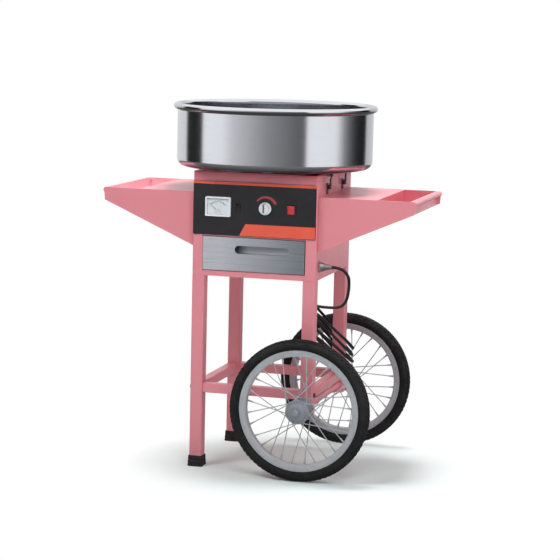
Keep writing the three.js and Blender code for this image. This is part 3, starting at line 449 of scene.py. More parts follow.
def left_well_painted_light(f):
    """Share of the painted light inside the left tray: paler paint over its floor and between its
    plates.
    """
    x, y, z = (f.axis(k) for k in range(3))
    slope, height = 0.4384, 0.4929
    end_x, deck_x, side_y, rim_z = -0.3922, -0.3055, 0.159, 0.7004
    share = f.ramp(f.math("ADD", z, f.math("MULTIPLY_ADD", x, slope, -height)), 0.0008, 0.0012)
    for limit in (f.ramp(x, end_x, end_x + 0.0005),
                  f.ramp(f.math("ABSOLUTE", y), side_y - 0.0002, side_y + 0.0002, 1, 0),
                  f.ramp(x, deck_x, deck_x + 0.001, 0.85, 0),
                  f.ramp(z, rim_z - 0.0003, rim_z, 1, 0)):
        share = f.math("MULTIPLY", share, limit)
    return share


def pink_paint():
    f = Finish("pink_paint", srgb(222, 134, 144), 0.38, Coat_Weight=0.25, Coat_Roughness=0.15)
    f.mottle(srgb(214, 124, 134), 4, 3, 0.35, 0.7, 0.3)
    f.mottle(srgb(230, 150, 158), 260, 2, 0.66, 0.8, 0.14)
    near_floor = f.ramp(f.axis(2), 0, 0.12, 0.35, 0)
    grime = f.math("MULTIPLY", near_floor, f.ramp(f.noise(24, 5), 0.4, 0.65))
    f.tint(grime, srgb(150, 100, 100))
    # Painted shadow: the band just under the bowl is painted darker red, where the bowl's overhang
    # shades it.
    painted_bowl_shadow = f.ramp(f.axis(2), 0.727, 0.752, 0, 0.72)
    f.tint(painted_bowl_shadow, srgb(170, 52, 62))
    # Painted light: the left tray's well is painted paler, standing in for light that the lamps do
    # not give it.
    f.tint(left_well_painted_light(f), srgb(250, 200, 208))
    f.uneven(14, 4, 0.3, 0.46)
    f.grain(420, 2, 0.05, 0.0006)
    f.grain(3.5, 2, 0.2, 0.002)
    return f.material


def coating(name, colour, roughness, layers, uneven, grain, **sockets):
    """Colour under blotches and grains. layers are (colour, scale, detail, low, high, amount)."""
    f = Finish(name, srgb(*colour), roughness, **sockets)
    for layer, *spread in layers:
        f.mottle(srgb(*layer), *spread)
    f.uneven(*uneven)
    f.grain(*grain)
    return f.material


def orange_film(name, colour, deeper, lighter):
    layers = [(deeper, 26, 4, 0.35, 0.7, 0.5), (lighter, 500, 2, 0.6, 0.72, 0.3)]
    return coating(name, colour, 0.32, layers, (60, 3, 0.26, 0.4), (1400, 2, 0.1, 0.0002),
                   Coat_Weight=0.2, Coat_Roughness=0.2)


def spun_steel():
    """Spun stainless steel: brush lines run round the Z axis."""
    f = Finish("spun_steel", (0.72, 0.735, 0.775, 1), 0.12, 1, Anisotropic=0.35)
    x, y, z = (f.axis(k) for k in range(3))
    radius = f.math("SQRT", f.math("ADD", f.math("MULTIPLY", x, x), f.math("MULTIPLY", y, y)))
    lines_per_metre, lines_per_radian = 420, 1.4
    turn = f.math("ARCTAN2", y, x)
    across = [f.math("MULTIPLY", value, scale) for value, scale in (
        (radius, lines_per_metre), (z, lines_per_metre), (turn, lines_per_radian))]
    lines = f.noise(3, 5, vector=f.node("CombineXYZ", *across).outputs[0])
    f.tint(f.ramp(lines, 0.3, 0.7, 0, 0.35), (0.58, 0.59, 0.625, 1))
    f.mottle((0.6, 0.615, 0.65, 1), 9, 4, 0.5, 0.75, 0.25)
    # Painted shade: the bowl's lower corner and the band under its bead are painted near black, in
    # place of shade and dark reflections there.
    corner = f.math("MULTIPLY", f.ramp(radius, 0.224, 0.236), f.ramp(z, 0.766, 0.777, 0.85, 0))
    painted_bead_shade = f.math("MULTIPLY", f.ramp(radius, 0.2502, 0.2512),
                        f.ramp(z, 0.9085, 0.9125, 0.8, 0))
    f.tint(f.math("MAXIMUM", corner, painted_bead_shade), (0.1, 0.102, 0.11, 1))
    f.shade(Roughness=f.ramp(lines, 0.25, 0.75, 0.09, 0.19))
    f.bump(lines, 0.02, 0.0003)
    tangent = f.node("Tangent")
    tangent.direction_type = "RADIAL"
    tangent.axis = "Z"
    f.shade(Tangent=tangent.outputs[0])
    return f.material


def brushed_steel(name, colour, stretch=(2, 1500, 1500), rough=(0.24, 0.36), painted_light_x=None,
                  metallic=1):
    """Steel with fine lines. painted_light_x paints light and shade along X: from, to and the colour
    there.
    """
    f = Finish(name, colour, 0.3, metallic)
    lines = f.noise(1, 3, stretch=stretch)
    f.tint(f.ramp(lines, 0.3, 0.7, 0, 0.2), darker(colour, 0.8))
    f.mottle(darker(colour, 0.8), 7, 3, 0.4, 0.75, 0.25)
    # Painted light and shade: the colour blends to another one along X.
    if painted_light_x:
        start, stop, shade = painted_light_x
        f.tint(f.ramp(f.axis(0), start, stop), shade)
    f.shade(Roughness=f.ramp(lines, 0.25, 0.75, *rough))
    f.bump(lines, 0.04, 0.0003)
    return f.material


def plain_metal(name, colour, rough, metallic=1, grain=260, bump=0.08, wear=None):
    f = Finish(name, colour, rough, metallic)
    f.mottle(darker(colour, 0.72), grain, 4, 0.35, 0.7, 0.5)
    f.mottle(darker(colour, 0.72), 18, 4, 0.5, 0.75, 0.35)
    if wear:
        f.edges(wear)
    f.uneven(grain / 3, 4, rough * 0.75, rough * 1.3)
    f.grain(grain * 3, 3, bump, 0.0004)
    return f.material


def moulded(name, colour, rough, lighter, grain=900, bump=0.15, **sockets):
    f = Finish(name, srgb(*colour), rough, **sockets)
    f.mottle(srgb(*lighter), 40, 4, 0.4, 0.7, 0.4)
    f.edges(srgb(*lighter))
    f.uneven(70, 4, rough * 0.8, min(rough * 1.25, 1))
    f.grain(grain, 3, bump, 0.0003)
    return f.material


def window_glass():
    f = Finish("window_glass", (0.985, 0.992, 1, 1), 0.03, Transmission_Weight=1, IOR=1.2)
    f.shade(Roughness=f.ramp(f.noise(30, 4), 0.45, 0.75, 0.015, 0.06))
    f.grain(14, 2, 0.02, 0.0002)
    return f.material


def dial_card():
    f = Finish("dial_card", srgb(243, 249, 254), 0.5)
    f.tint(f.ramp(f.axis(2), 0.650, 0.690, 0, 0.55), srgb(246, 251, 254))
    f.mottle(srgb(216, 230, 242), 600, 3, 0.5, 0.7, 0.2)
    f.grain(900, 2, 0.08, 0.0002)
    return f.material


def axle_steel():
    """Steel journals and threads, with the length between the wheels painted like the frame."""
    f = Finish("axle_steel", (0.5, 0.5, 0.52, 1), 0.38)
    f.mottle((0.36, 0.36, 0.375, 1), 260, 4, 0.35, 0.7, 0.5)
    bare = f.ramp(f.math("ABSOLUTE", f.axis(1)), 0.196, 0.198)
    f.tint(f.math("SUBTRACT", 1, bare), srgb(218, 128, 138))
    f.shade(Metallic=bare)
    f.uneven(80, 4, 0.3, 0.48)
    f.grain(780, 3, 0.08, 0.0004)
    return f.material


PINK = pink_paint()
AXLE = axle_steel()
PANEL = coating("panel_film", (27, 25, 29), 0.35,
                [((40, 38, 43), 30, 4, 0.4, 0.7, 0.4), ((58, 56, 62), 900, 2, 0.6, 0.72, 0.35)],
                (40, 4, 0.3, 0.42), (1400, 2, 0.12, 0.0002), Coat_Weight=0.2, Coat_Roughness=0.25)
ORANGE = orange_film("orange_film", (228, 88, 66), (214, 74, 54), (240, 112, 90))
SCALE = orange_film("scale_film", (176, 62, 70), (160, 50, 58), (196, 84, 90))
SPUN = spun_steel()
BRUSHED = brushed_steel("brushed_steel", (0.4, 0.41, 0.44, 1), stretch=(1500, 1500, 2))
# Painted reflection: the drawer front's steel darkens towards its right end.
FRONT = brushed_steel("drawer_front_steel", (0.68, 0.69, 0.75, 1),
                      painted_light_x=(-0.09, 0.12, (0.27, 0.29, 0.32, 1)), metallic=0.6)
# Painted shade: the pull's dish is near black at its left end and darker than the front across the
# rest.
PULL_PAINTED_SHADE = brushed_steel("pull_painted_shade", (0.05, 0.052, 0.06, 1), rough=(0.3, 0.42), metallic=0.6,
                     painted_light_x=(-0.043, -0.016, (0.4, 0.41, 0.44, 1)))
SHEET = brushed_steel("drawer_sheet", (0.55, 0.56, 0.58, 1), (900, 6, 900), (0.28, 0.42))
SATIN = plain_metal("satin_steel", (0.5, 0.5, 0.52, 1), 0.38)
RIM = plain_metal("rim_alloy", srgb(188, 189, 194), 0.34, 0.35, grain=160, bump=0.03)
SPOKE = plain_metal("spoke_zinc", srgb(186, 187, 192), 0.34, 0.4, grain=400, bump=0.02)
CAST = plain_metal("cast_aluminium", (0.6, 0.6, 0.61, 1), 0.42, grain=520, bump=0.25)
HUB = plain_metal("hub_grey", srgb(148, 152, 161), 0.42, 0.35, grain=300, bump=0.12)
DARK_STEEL = plain_metal("dark_steel", srgb(74, 76, 84), 0.4, 0.8, wear=srgb(170, 172, 176))
MOTOR = plain_metal("motor_enamel", srgb(60, 62, 66), 0.5, 0.2, bump=0.2)
HOT = plain_metal("heater_sheath", srgb(120, 112, 104), 0.45, 0.8)
BLACK = moulded("black_plastic", (30, 30, 33), 0.45, (46, 46, 50))
WHITE = moulded("white_plastic", (226, 229, 232), 0.35, (240, 242, 244), bump=0.06)
KNOB = moulded("knob_plastic", (214, 216, 220), 0.3, (240, 241, 243), bump=0.06)
RED = moulded("red_plastic", (198, 46, 50), 0.28, (216, 78, 78), bump=0.05, Coat_Weight=0.4)
TYRE = coating("tyre_rubber", (17, 17, 19), 0.66,
               [((34, 33, 34), 30, 5, 0.45, 0.7, 0.6), ((50, 47, 45), 6, 4, 0.55, 0.75, 0.4)],
               (50, 4, 0.55, 0.85), (700, 4, 0.25, 0.0004))
FOOT = moulded("foot_rubber", (26, 26, 28), 0.75, (44, 43, 43), grain=600, bump=0.3)
CORD = moulded("cord_sheath", (26, 26, 29), 0.5, (40, 40, 44), grain=1200, bump=0.12)
DIAL = dial_card()
INK = moulded("dial_ink", (44, 46, 52), 0.6, (60, 62, 68))
GLASS = window_glass()
FIBRE = moulded("brush_board", (96, 66, 44), 0.6, (120, 88, 60), grain=500)


# Mains lead
def catmull_rom(points, step=4):
    """Centripetal Catmull-Rom curve, as three.js draws it, sampled about every step mm."""
    out = []
    for i in range(len(points) - 1):
        p1, p2 = points[i], points[i + 1]
        p0 = points[i - 1] if i else p1 * 2 - p2
        p3 = points[i + 2] if i + 2 < len(points) else p2 * 2 - p1
        d = [max((b - a).length, 1e-6) ** 0.5 for a, b in ((p0, p1), (p1, p2), (p2, p3))]
        t1 = ((p1 - p0) / d[0] - (p2 - p0) / (d[0] + d[1]) + (p2 - p1) / d[1]) * d[1]
        t2 = ((p2 - p1) / d[1] - (p3 - p1) / (d[1] + d[2]) + (p3 - p2) / d[2]) * d[1]
        count = max(2, round((p2 - p1).length / step))
        for k in range(count):
            u = k / count
            out.append(p1 * (2 * u ** 3 - 3 * u ** 2 + 1) + t1 * (u ** 3 - 2 * u ** 2 + u)
                       + p2 * (-2 * u ** 3 + 3 * u ** 2) + t2 * (u ** 3 - u ** 2))
    out.append(points[-1])
    return out


GLAND = vec(SIDE_X, -140, 526)
GLAND_LENGTH = 33
PLUG = vec(65.5, 124.7, 245.7)
LEAD = [GLAND + vec(GLAND_LENGTH + GAP, 0, 0)] + [vec(*place) for place in (
    (202, -140, 526), (222.5, -137, 519.5), (233.5, -129, 502.5), (233, -118, 483.5),
    (227, -97.5, 461), (217, -70, 440), (204, -40, 423.5), (189, -11, 411), (171.5, 16, 402.5),
    (152, 41.5, 397), (131.5, 63.5, 393.5), (113, 82.5, 391))]
TAIL = [vec(96.9, 103.3, 289.2), vec(85, 111.4, 287.1), vec(74.8, 118.4, 279.4),
        vec(68, 123.1, 267.5), PLUG + vec(0, 0, 2 * CORD_R), PLUG]
WINDING_POINTS, PER_TURN = 119, 24


def winding(turn):
    """Centre line of the winding round the rear right leg: a leaning, falling ellipse."""
    middle, top, fall, depth = (136, 137.1), STRETCHER_TOP + 122, 20, 51
    angle = radians(-155) - turn * TAU
    breadth = 50 + 2.5 * sin(turn * 11.3)
    tilt = 50 * (1 + 0.06 * sin(turn * 4.1))
    return vec(middle[0] + breadth * cos(angle), middle[1] + depth * sin(angle),
               top - fall * turn - tilt * cos(angle - radians(25)))


def cord_route():
    first, second = winding(0), winding(0.02)
    along = (second - first).normalized()
    joint = [first - along * (4 * CORD_R + GAP), first - along * 2 * CORD_R]
    turns = [winding(k / PER_TURN) for k in range(WINDING_POINTS)]
    return LEAD + joint + turns + TAIL


route = catmull_rom(cord_route())
cord_curve = bpy.data.curves.new("mains_lead", "CURVE")
cord_curve.dimensions = "3D"
add_line(cord_curve, route).use_smooth = True
cord_curve.bevel_depth = CORD_R * MM
cord_curve.bevel_resolution = 4
cord_curve.use_fill_caps = True
cord = add_object("mains_lead", cord_curve)
cord_curve.materials.append(CORD)
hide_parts("power_cord", "cord_winding")
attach(cord, "cart")


def plug_shape():
    """Moulded plug with ribs, hanging down from its cord end."""
    sections = [(0, 6, 5.6), (-2, 6.3, 6), (-11, 6.8, 6.6), (-14, 8.6, 7.8), (-17.5, 11, 9.6),
                (-22, 12.4, 10.7), (-26, 13, 11), (-40.6, 13, 11), (-41.6, 12.6, 10.6),
                (-42, 11.6, 9.6)]
    body = [[(x, y, z) for x, y in rounded_loop(2 * w, 2 * d, min(w, d) * 0.55)]
            for z, w, d in sections]
    parts = [loops_shape(body)]
    for k in range(6):
        z = -2.5 - k * 1.6
        parts.append(loops_shape([
            [(x, y, z + dz) for x, y in rounded_loop(2 * half + 0.9, 2 * half + 0.5, 3.6)]
            for dz, half in ((0.45, 6.1), (0.25, 6.4), (-0.25, 6.4), (-0.45, 6.1))]))
    return parts


plug_top = PLUG - vec(0, 0, GAP)
plug = build("plug_body", all_moved(plug_shape(), shift(*plug_top)), "cart", CORD,
             ["cord_plug"], sharp=40)
pin_profile = [(0, -18.5), (1, -18.5), (1.9, -17.9), (2.4, -16.6), (2.4, 0), (0, 0)]
pins = [moved(lathe(pin_profile, 32, closed=False), shift(*(plug_top + vec(x, 0, -41.5))))
        for x in (-9.5, 9.5)]
plug_pins = build("plug_pins", pins, "cart", SATIN)

# Gland, with six ribs on its bend relief
gland_place = shift(*GLAND) @ turned(90, "Y")
nose = [(7.6, -10), (7.6, 0.6), (11.9, 0.6), (11.9, 10.2), (11.4, 11), (10.6, 11.2),
        (10.2, 13.4), (9.4, 15)]
for k in range(6):
    z, r = 15.6 + k * 2.8, 8.6 - k * 0.52
    nose += [(r - 0.9, z), (r, z + 0.4), (r, z + 1.5), (r - 0.9, z + 1.9)]
nose += [(5.6, 32.2), (5.2, 33), (3.95, 33), (3.95, -10)]
locknut = [(6.6, -7.3), (11.2, -7.3), (11.2, -2.3), (6.6, -2.3)]
gland_nut = hexagon(14, ((0.97, 0.4), (1, 1), (1, 5.6), (0.95, 6.3)))
build("gland_nut", [moved(gland_nut, gland_place)], "cart", CAST, bevel=0.4)
build("gland_nose", all_moved([lathe(nose, 48), lathe(locknut, 6)], gland_place), "cart", CAST,
      ["cord_gland"])


# Bowl and spinner head
def screw_head(radius, height):
    """Pan head about Z, sunk a little below 0, with a cross-shaped recess drawn by rows 1 and 2."""
    profile = [(0, 0.55), (0.16, 0.55), (0.2, 0.96), (0.5, 0.92), (0.8, 0.68), (0.95, 0.35)]
    profile = [(radius * r, height * z) for r, z in profile]
    profile += [(radius, 0), (radius, -0.4), (0, -0.4)]

    def cross(angle, row):
        return 2.6 - 1.6 * abs(sin(2 * angle)) if row in (1, 2) else 1
    return lathe(profile, 32, closed=False, bulge=cross)


def bowl_profile():
    sheet, wall, corner, bead = 1.6, 250, 20, 8
    middle = (wall - corner, corner)
    profile = [(24, 0), (wall - corner, 0)]
    profile += arc(middle, corner, -QUARTER, 0, 12)[1:]
    profile += [(wall, 60), (wall, 140), (wall, 142.4)]
    profile += arc((252, 152), bead, -QUARTER, pi, 18)
    profile += [(wall - sheet, 148), (wall - sheet, 100), (wall - sheet, 40)]
    profile += arc(middle, corner - sheet, -QUARTER, 0, 12)[::-1]
    return profile + [(120, sheet), (116, 2.4), (108, 2.4), (104, sheet), (30, sheet), (27, 2.2),
                      (25.6, 4), (25.6, 15.4), (25.2, 16), (24.4, 16), (24, 15.4)]


def keeper_parts():
    """Four angles under the bowl, one to a latch."""
    inner, low, half = SIDE_X + 1.5, BOWL_UNDER - 11.9, 7
    shapes = []
    for side in (-1, 1):
        for y in (-KEEPER_Y, KEEPER_Y):
            for width, height in ((2, 12.5), (7, 2.5)):
                x0, x1 = sorted((side * inner, side * (inner + width)))
                shapes.append(box_shape((x0, y - half, low), (x1, y + half, low + height)))
    return shapes


build("bowl_pan", [moved(lathe(bowl_profile(), 192), shift(0, 0, BOWL_UNDER))], "cart", SPUN,
      ["bowl"])
build("bowl_keepers", keeper_parts(), "cart", SATIN, bevel=0.4)

HEAD = shift(0, 0, HEAD_UNDER)
HEAD_PROFILES = {
    "base": [
        (5.3, -14), (11.4, -14), (12, -13.4), (12.6, -3), (14, -1), (30, -0.4), (57, 0),
        (59.2, 0.6), (60, 2), (60, 6.6), (59.6, 7), (58.4, 7), (58, 6.6), (58, 3), (57, 2),
        (14, 2), (12, 5.5), (11.5, 6), (5.3, 6)],
    "cap": [
        (26, 18.6), (28, 18.6), (28, 38), (29, 38.6), (57.2, 38.6), (58, 38), (58, 31.6),
        (60, 31.6), (60, 38.4), (59.6, 39.6), (57, 41.6), (45, 42.7), (31.5, 43.6),
        (29.6, 44.6), (29, 46), (28.4, 46.6), (26.4, 46.6), (26, 46)]}


def band_parts():
    """Wall with upright slots, each with its own cut faces."""
    outer, inner, low, high, bar = 57.7, 55.7, 2.3, 38.3, 8
    slots, per_slot, slot_half = 20, 6, 2
    levels = [low, low + bar, high - bar, high]
    pitch = 360 / slots
    half = degrees(asin(slot_half / outer))
    angles = []
    for k in range(slots):
        start = (k + 0.5) * pitch + half
        angles.append((start - 2 * half, True))
        angles += [(start + (pitch - 2 * half) * j / per_slot, False) for j in range(per_slot)]
    verts, faces = [], []
    for a, _ in angles:
        c, s = cos(radians(a)), sin(radians(a))
        verts += [[r * c, r * s, z] for r in (outer, inner) for z in levels]
    for i, (_, slot_starts) in enumerate(angles):
        o, n = i * 8, (i + 1) % len(angles) * 8
        for k in (0, 2, 4, 6) if slot_starts else (0, 1, 2, 4, 5, 6):
            faces.append([o + k, n + k, n + k + 1, o + k + 1])
        for k in (0, 1, 2, 3) if slot_starts else (0, 3):
            faces.append([o + k, n + k, n + k + 4, o + k + 4])
        if slot_starts:
            faces += [[k + 1, k + 2, k + 6, k + 5] for k in (o, n)]
    return [moved((verts, faces), HEAD)]


screws = [moved(screw_head(3.4, 2), HEAD @ shift(43 * cos(a), 43 * sin(a), 42.8))
          for a in ((k + 0.5) / 4 * TAU for k in range(4))]
for name, profile in HEAD_PROFILES.items():
    build(f"head_{name}", [moved(lathe(profile), HEAD)], "spinner", CAST, [f"spinner_{name}"])
build("head_cap_screws", screws, "spinner", SATIN)
build("head_band", band_parts(), "spinner", BRUSHED, ["spinner_band"])
coil = lathe(circle(3.2, 16, (48, 20)))
build("heater_coil", [moved(coil, HEAD)], "spinner", HOT, ["heater_ring"])


# Wheels
def tyre_parts():
    centre, radius = 163.2, 14.8
    profile = [(147.3, -8), (152.3, -8.6), (152.3, -12.5)]
    for k in range(25):
        a = radians(-118 + k / 24 * 236)
        r = centre + radius * cos(a) * (0.93 if abs(a) > 1.3 else 1)
        profile.append((min(r, TYRE_R - 1.5), 16 * sin(a)))
    profile += [(152.3, 12.5), (152.3, 8.6), (147.3, 8)]
    shapes = [lathe(profile, 160)]
    count = 84
    for k in range(count):
        # Blocks of the tread: place and width across, offset in pitches, drop from the crown
        for z, width, offset, drop in ((-9.6, 4.6, 0.5, 1.6), (-3.4, 4.4, 0, 0),
                                       (3.4, 4.4, 0.5, 0), (9.6, 4.6, 0, 1.6)):
            place = (Matrix.Rotation((k + offset) * TAU / count, 4, "Z")
                     @ shift(TYRE_R - 2.4 - drop, 0, z) @ turned(18 if z > 0 else -18, "X"))
            block = box_shape((-2, -4, -width / 2), (2.3, 4, width / 2))
            shapes.append(moved(block, place))
    for side in (-1, 1):
        for r, z in ((156, 14.4), (159.5, 15.6)):
            ridge = [(r + 0.5 * cos(t), side * z + 0.7 * sin(t))
                     for t in (0, QUARTER, 2 * QUARTER, 3 * QUARTER)]
            shapes.append(lathe(ridge, 128))
    return shapes


def spoke_parts():
    """Each spoke is its wire, a two-part nipple at the rim and a pin through the flange."""
    root, reach = FLANGE_R - 3.5, 134.6
    shapes = []
    for i in range(SPOKES):
        flange = 1 if i % 2 == 0 else -1
        leading = 1 if i % 4 < 2 else -1
        at_rim = (i + 0.5) / SPOKES * TAU
        at_hub = at_rim + leading * radians(58)
        start = vec(root * cos(at_hub), root * sin(at_hub), flange * (FLANGE_Z + leading * 1.6))
        end = vec(reach * cos(at_rim), reach * sin(at_rim), flange * (3 + leading * 1.5))
        along = (end - start).normalized()
        tip, pin = end - along * 0.2, vec(0, 0, 3.4 * flange)
        shapes += [rod(start - along * 1.5, end, 1.25, 10), rod(end - along * 13, tip, 1.9, 12),
                   rod(end - along * 5, tip, 2.6, 6), rod(start - pin, start + pin, 1.5, 10)]
    return shapes


RIM_HALF = [
    (135, -5), (135.6, -7.6), (138, -10.4), (145, -11.4), (151.2, -12), (152, -11.8),
    (152, -9.2), (151, -8.9), (147.6, -8.4), (147, -7.6)]
HUB_HALF_PROFILE = [
    (8.35, -33), (18.6, -33), (20, -32.2), (21, -30.5), (22.4, -25.4), (24, -24), (29.2, -24),
    (30, -23.2), (30, -18.8), (29.2, -18), (24.4, -17.6), (23, -15.4), (22.6, -13)]
WHEEL_PIECES = (
    ("tyre_tread", tyre_parts(), TYRE, "tyre", "tyre_rubber", 45),
    ("rim_hoop", [lathe(mirrored(RIM_HALF) + [(134.9, 0)], 160)], RIM, "rim", "rim_chrome", 32),
    ("hub_shell", [lathe(mirrored(HUB_HALF_PROFILE), 64)], HUB, "hub", "hub_grey", 32),
    ("spokes", spoke_parts(), SPOKE, None, "rim_chrome", 50))

for end_name, end in zip(ENDS, (-1, 1)):
    axle = shift(LEG_X, end * WHEEL_Y, TYRE_R) @ turned(90, "X")
    for name, shapes, material, node, slot, sharp in WHEEL_PIECES:
        build(f"{name}_{end_name}", all_moved(shapes, axle), f"wheel_{end_name}", material,
              [f"{node}_{end_name}"] if node else (), sharp)


# Drawer and cabinet
def pull_outline(inset, slack=0.02):
    """Outline of the drawer's pull, with ends that are almost half circles."""
    return rounded_loop(PULL_L - 2 * inset, PULL_H - 2 * inset, PULL_H / 2 - inset - slack, 20,
                        (PULL_X, PULL_Z))


def drawer_pieces():
    face, plate = -177.5, 2.6
    outer = rounded_loop(264, 84, 1.6, 6, (0, 549.5))
    curve_plate("drawer_front", outer, pull_outline(0, 0.01), face, plate, 0.5, "drawer", FRONT,
                ["drawer"])
    # The pull's dish: from the front's edge to the floor of the recess, and back behind it
    dish, behind = [[[(x, face + depth, z) for x, z in pull_outline(inset)]
                     for inset, depth in levels] for levels in (
        ((-0.4, 0.2), (0.05, 0.9), (0.3, 7.5), (0.9, 9.5), (2.2, 10.9), (4.4, 11.5), (7.5, 11.7)),
        ((7.5, 13.1), (4.2, 13), (0.5, 11.5), (-1.3, 9.5), (-1.4, plate)))]
    build("drawer_pull", [loops_shape(dish, False, True), loops_shape(behind, True, False)],
          "drawer", PULL_PAINTED_SHADE, sharp=50)
    # The tray: floor, sides, back, the strips round the pull, and the folded upper edges
    half, low, front, rear, sheet = 128, 507.8, face + plate, 115.3, 1.5
    high, lip, behind_front, room = low + 70, low + 68.6, front + 1.3, PULL_H / 2 + 1.6
    reach = PULL_L / 2 + 1.6
    walls = [((-half, front, low), (half, rear, low + sheet)),
             ((-half, front, low), (-half + sheet, rear, high)),
             ((half - sheet, front, low), (half, rear, high)),
             ((-half, rear - sheet, low), (half, rear, high)),
             ((-half, front, low), (half, behind_front, PULL_Z - room)),
             ((-half, front, PULL_Z + room), (half, behind_front, high)),
             ((-half, front, low + 30), (PULL_X - reach, behind_front, low + 69)),
             ((PULL_X + reach, front, low + 30), (half, behind_front, low + 69)),
             ((-half - 0.6, -172, lip), (-half + 2.4, rear, high)),
             ((half - 2.4, -172, lip), (half + 0.6, rear, high)),
             ((-half - 0.6, rear - 2.4, lip), (half + 0.6, rear, high))]
    build("drawer_tray", [box_shape(*wall) for wall in walls], "drawer", SHEET,
          bevel=0.25)


drawer_pieces()
FILM_BACK, FILM_FRONT = PANEL_FACE - 0.01, PANEL_FACE - 0.13
for name, outline in (
        ("panel_stripe", [(-37.5, 597.2), (157.6, 597.2), (157.6, 627), (-22, 627)]),
        ("panel_top_line", [(-158.6, 723.4), (158.6, 723.4), (158.6, 730.2), (-158.6, 730.2)])):
    build(name, [slab(outline, FILM_BACK, FILM_FRONT)], "cart", ORANGE)


# Controls
def heat_scale():
    """Tapered arc over the knob, thin at the low end, with ticks under it."""
    centre, radius, low_end, sweep, steps = (KNOB_X, ROW), 25.6, 142, 118, 28
    loops = []
    for k in range(steps + 1):
        a = radians(low_end - k / steps * sweep)
        width = 2.6 + 4.8 * sqrt(k / steps)
        inner, outer = [(centre[0] + r * cos(a), centre[1] + r * sin(a))
                        for r in (radius, radius + width)]
        loops.append([(x, y, z) for (x, z), y in (
            (inner, FILM_BACK), (outer, FILM_BACK), (outer, FILM_FRONT), (inner, FILM_FRONT))])
    ticks = [slab(tick(centre, radians(low_end - k / 7 * sweep), 22.5, 24.8, 0.35),
                  FILM_BACK, FILM_FRONT) for k in range(8)]
    build("heat_scale", [loops_shape(loops)], "cart", SCALE)
    build("heat_ticks", ticks, "cart", INK)


def knob_pieces():
    place = shift(KNOB_X, PANEL_FACE - GAP, ROW) @ turned(90, "X")
    profile = [(7, 0), (15, 0), (15.8, 0.5), (16, 1.2), (15.6, 3.6), (15, 4.2), (13.2, 4.9),
               (12.7, 5.6), (12.5, 7), (12, 14.6), (11.6, 15.8), (10.6, 16.8), (9.4, 17),
               (9, 16.7), (8.6, 16.4), (0, 16.4)]

    def flutes(angle, row):
        return 1 + 0.028 * cos(24 * angle) if 6 <= row <= 9 else 1
    grip = [lathe(profile, 144, closed=False, bulge=flutes),
            lathe([(7, 0), (7, 3.8), (0, 3.8)], 48, closed=False)]
    spindle = [lathe([(0, -20), (3, -20), (3, 4.5), (0, 4.5)], 24, closed=False)]
    ridge = [box_shape((-1.5, -9.5, 15.6), (1.5, 11, 18.2))]
    build("knob_grip", all_moved(grip, place), "knob", KNOB, ["control_knob"],
          sharp=40)
    build("knob_pointer", all_moved(ridge, place), "knob", DARK_STEEL,
          bevel=0.5)
    build("knob_spindle", all_moved(spindle, place), "knob", SATIN)


def meter_pieces():
    cx, cz, face, pivot = METER_X, ROW, PANEL_FACE - GAP, (METER_X, PIVOT_Z)
    case_depth, card_sunk, card_thick = 9, 6, 0.8
    outer = rounded_loop(65, 49, 3, 8, (cx, cz))
    window = rounded_loop(57, 41, 1.2, 5, (cx, cz))
    curve_plate("meter_bezel", outer, window, face - case_depth, case_depth, 0.9, "cart", WHITE,
                ["meter_case"])
    back_boxes = [box_shape((cx - 28.6, face - 3, cz - 20.6), (cx + 28.6, face - 0.2, cz + 20.6)),
                  box_shape((cx - 20, face - 0.3, cz - 17), (cx + 20, face + 24, cz + 17))]
    build("meter_back", back_boxes, "cart", BLACK, bevel=0.4)
    card_y = face - case_depth + card_sunk - GAP - card_thick
    card = box_shape((cx - 28.2, card_y, cz - 20.2), (cx + 28.2, card_y + card_thick, cz + 20.2))
    build("meter_card", [card], "cart", DIAL, ["meter_dial"], bevel=0.1)
    marks = []
    for k in range(31):
        reach = 30 if k % 10 == 0 else 28.6 if k % 5 == 0 else 27.4
        half = 0.32 if k % 5 == 0 else 0.18
        outline = tick(pivot, radians(135 - k * 3), 25.5, reach, half)
        marks.append(slab(outline, card_y + 0.02, card_y - 0.08))
    inner, outer = [arc(pivot, r, radians(135), radians(45), 30) for r in (25.2, 25.7)]
    marks.append(([[x, card_y - 0.08, z] for x, z in inner + outer[::-1]],
                  [[k, k + 1, 60 - k, 61 - k] for k in range(30)]))
    build("meter_marks", marks, "cart", INK)
    dome, foot = arc((cx, pivot[1] - 1), 9.5, pi, 0, 20), cz - 20.7
    outline = [(cx - 9.5, foot)] + dome + [(cx + 9.5, foot)]
    build("meter_cover", [slab(outline, card_y - 2.45, card_y - 2.8)], "cart", WHITE)


def needle_parts():
    """Lance and hub, turned to the zero mark."""
    lance = [(-0.5, -6), (0.5, -6), (0.65, 0), (0.16, 27), (-0.16, 27), (-0.65, 0)]
    hub = lathe([(1.34, -0.8), (2.3, -0.8), (2.6, -0.5), (2.6, 0.5), (2.3, 0.8), (1.34, 0.8)], 32)
    return all_moved([slab(lance, -0.3, 0.3), moved(hub, turned(-90, "X"))],
                     shift(METER_X, NEEDLE_Y, PIVOT_Z) @ turned(-45, "Y"))


def rocker_parts(width, height, x):
    """Dished rocker, tipped to its rest position."""
    half_w, half_h = width / 2 - 3.5, height / 2 - 4.1
    place = shift(x, PANEL_FACE + 3, ROW) @ turned(8, "X")
    outline = []
    for k in range(13):
        z = half_h - 2 * half_h * k / 12
        outline.append((-4.4 - 1.1 * (z / half_h) ** 2, z))
    outline += [(-1, -half_h), (5, -half_h * 0.35), (5, half_h * 0.35), (-1, half_h)]
    loops = []
    for dx, shrink in ((-half_w, 0.5), (-half_w + 0.5, 0), (half_w - 0.5, 0), (half_w, 0.5)):
        k = 1 - shrink / half_h
        loops.append([(dx, y * (1 if y > -1 else 1 - shrink * 0.08), z * k) for y, z in outline])
    return [moved(loops_shape(loops), place)]


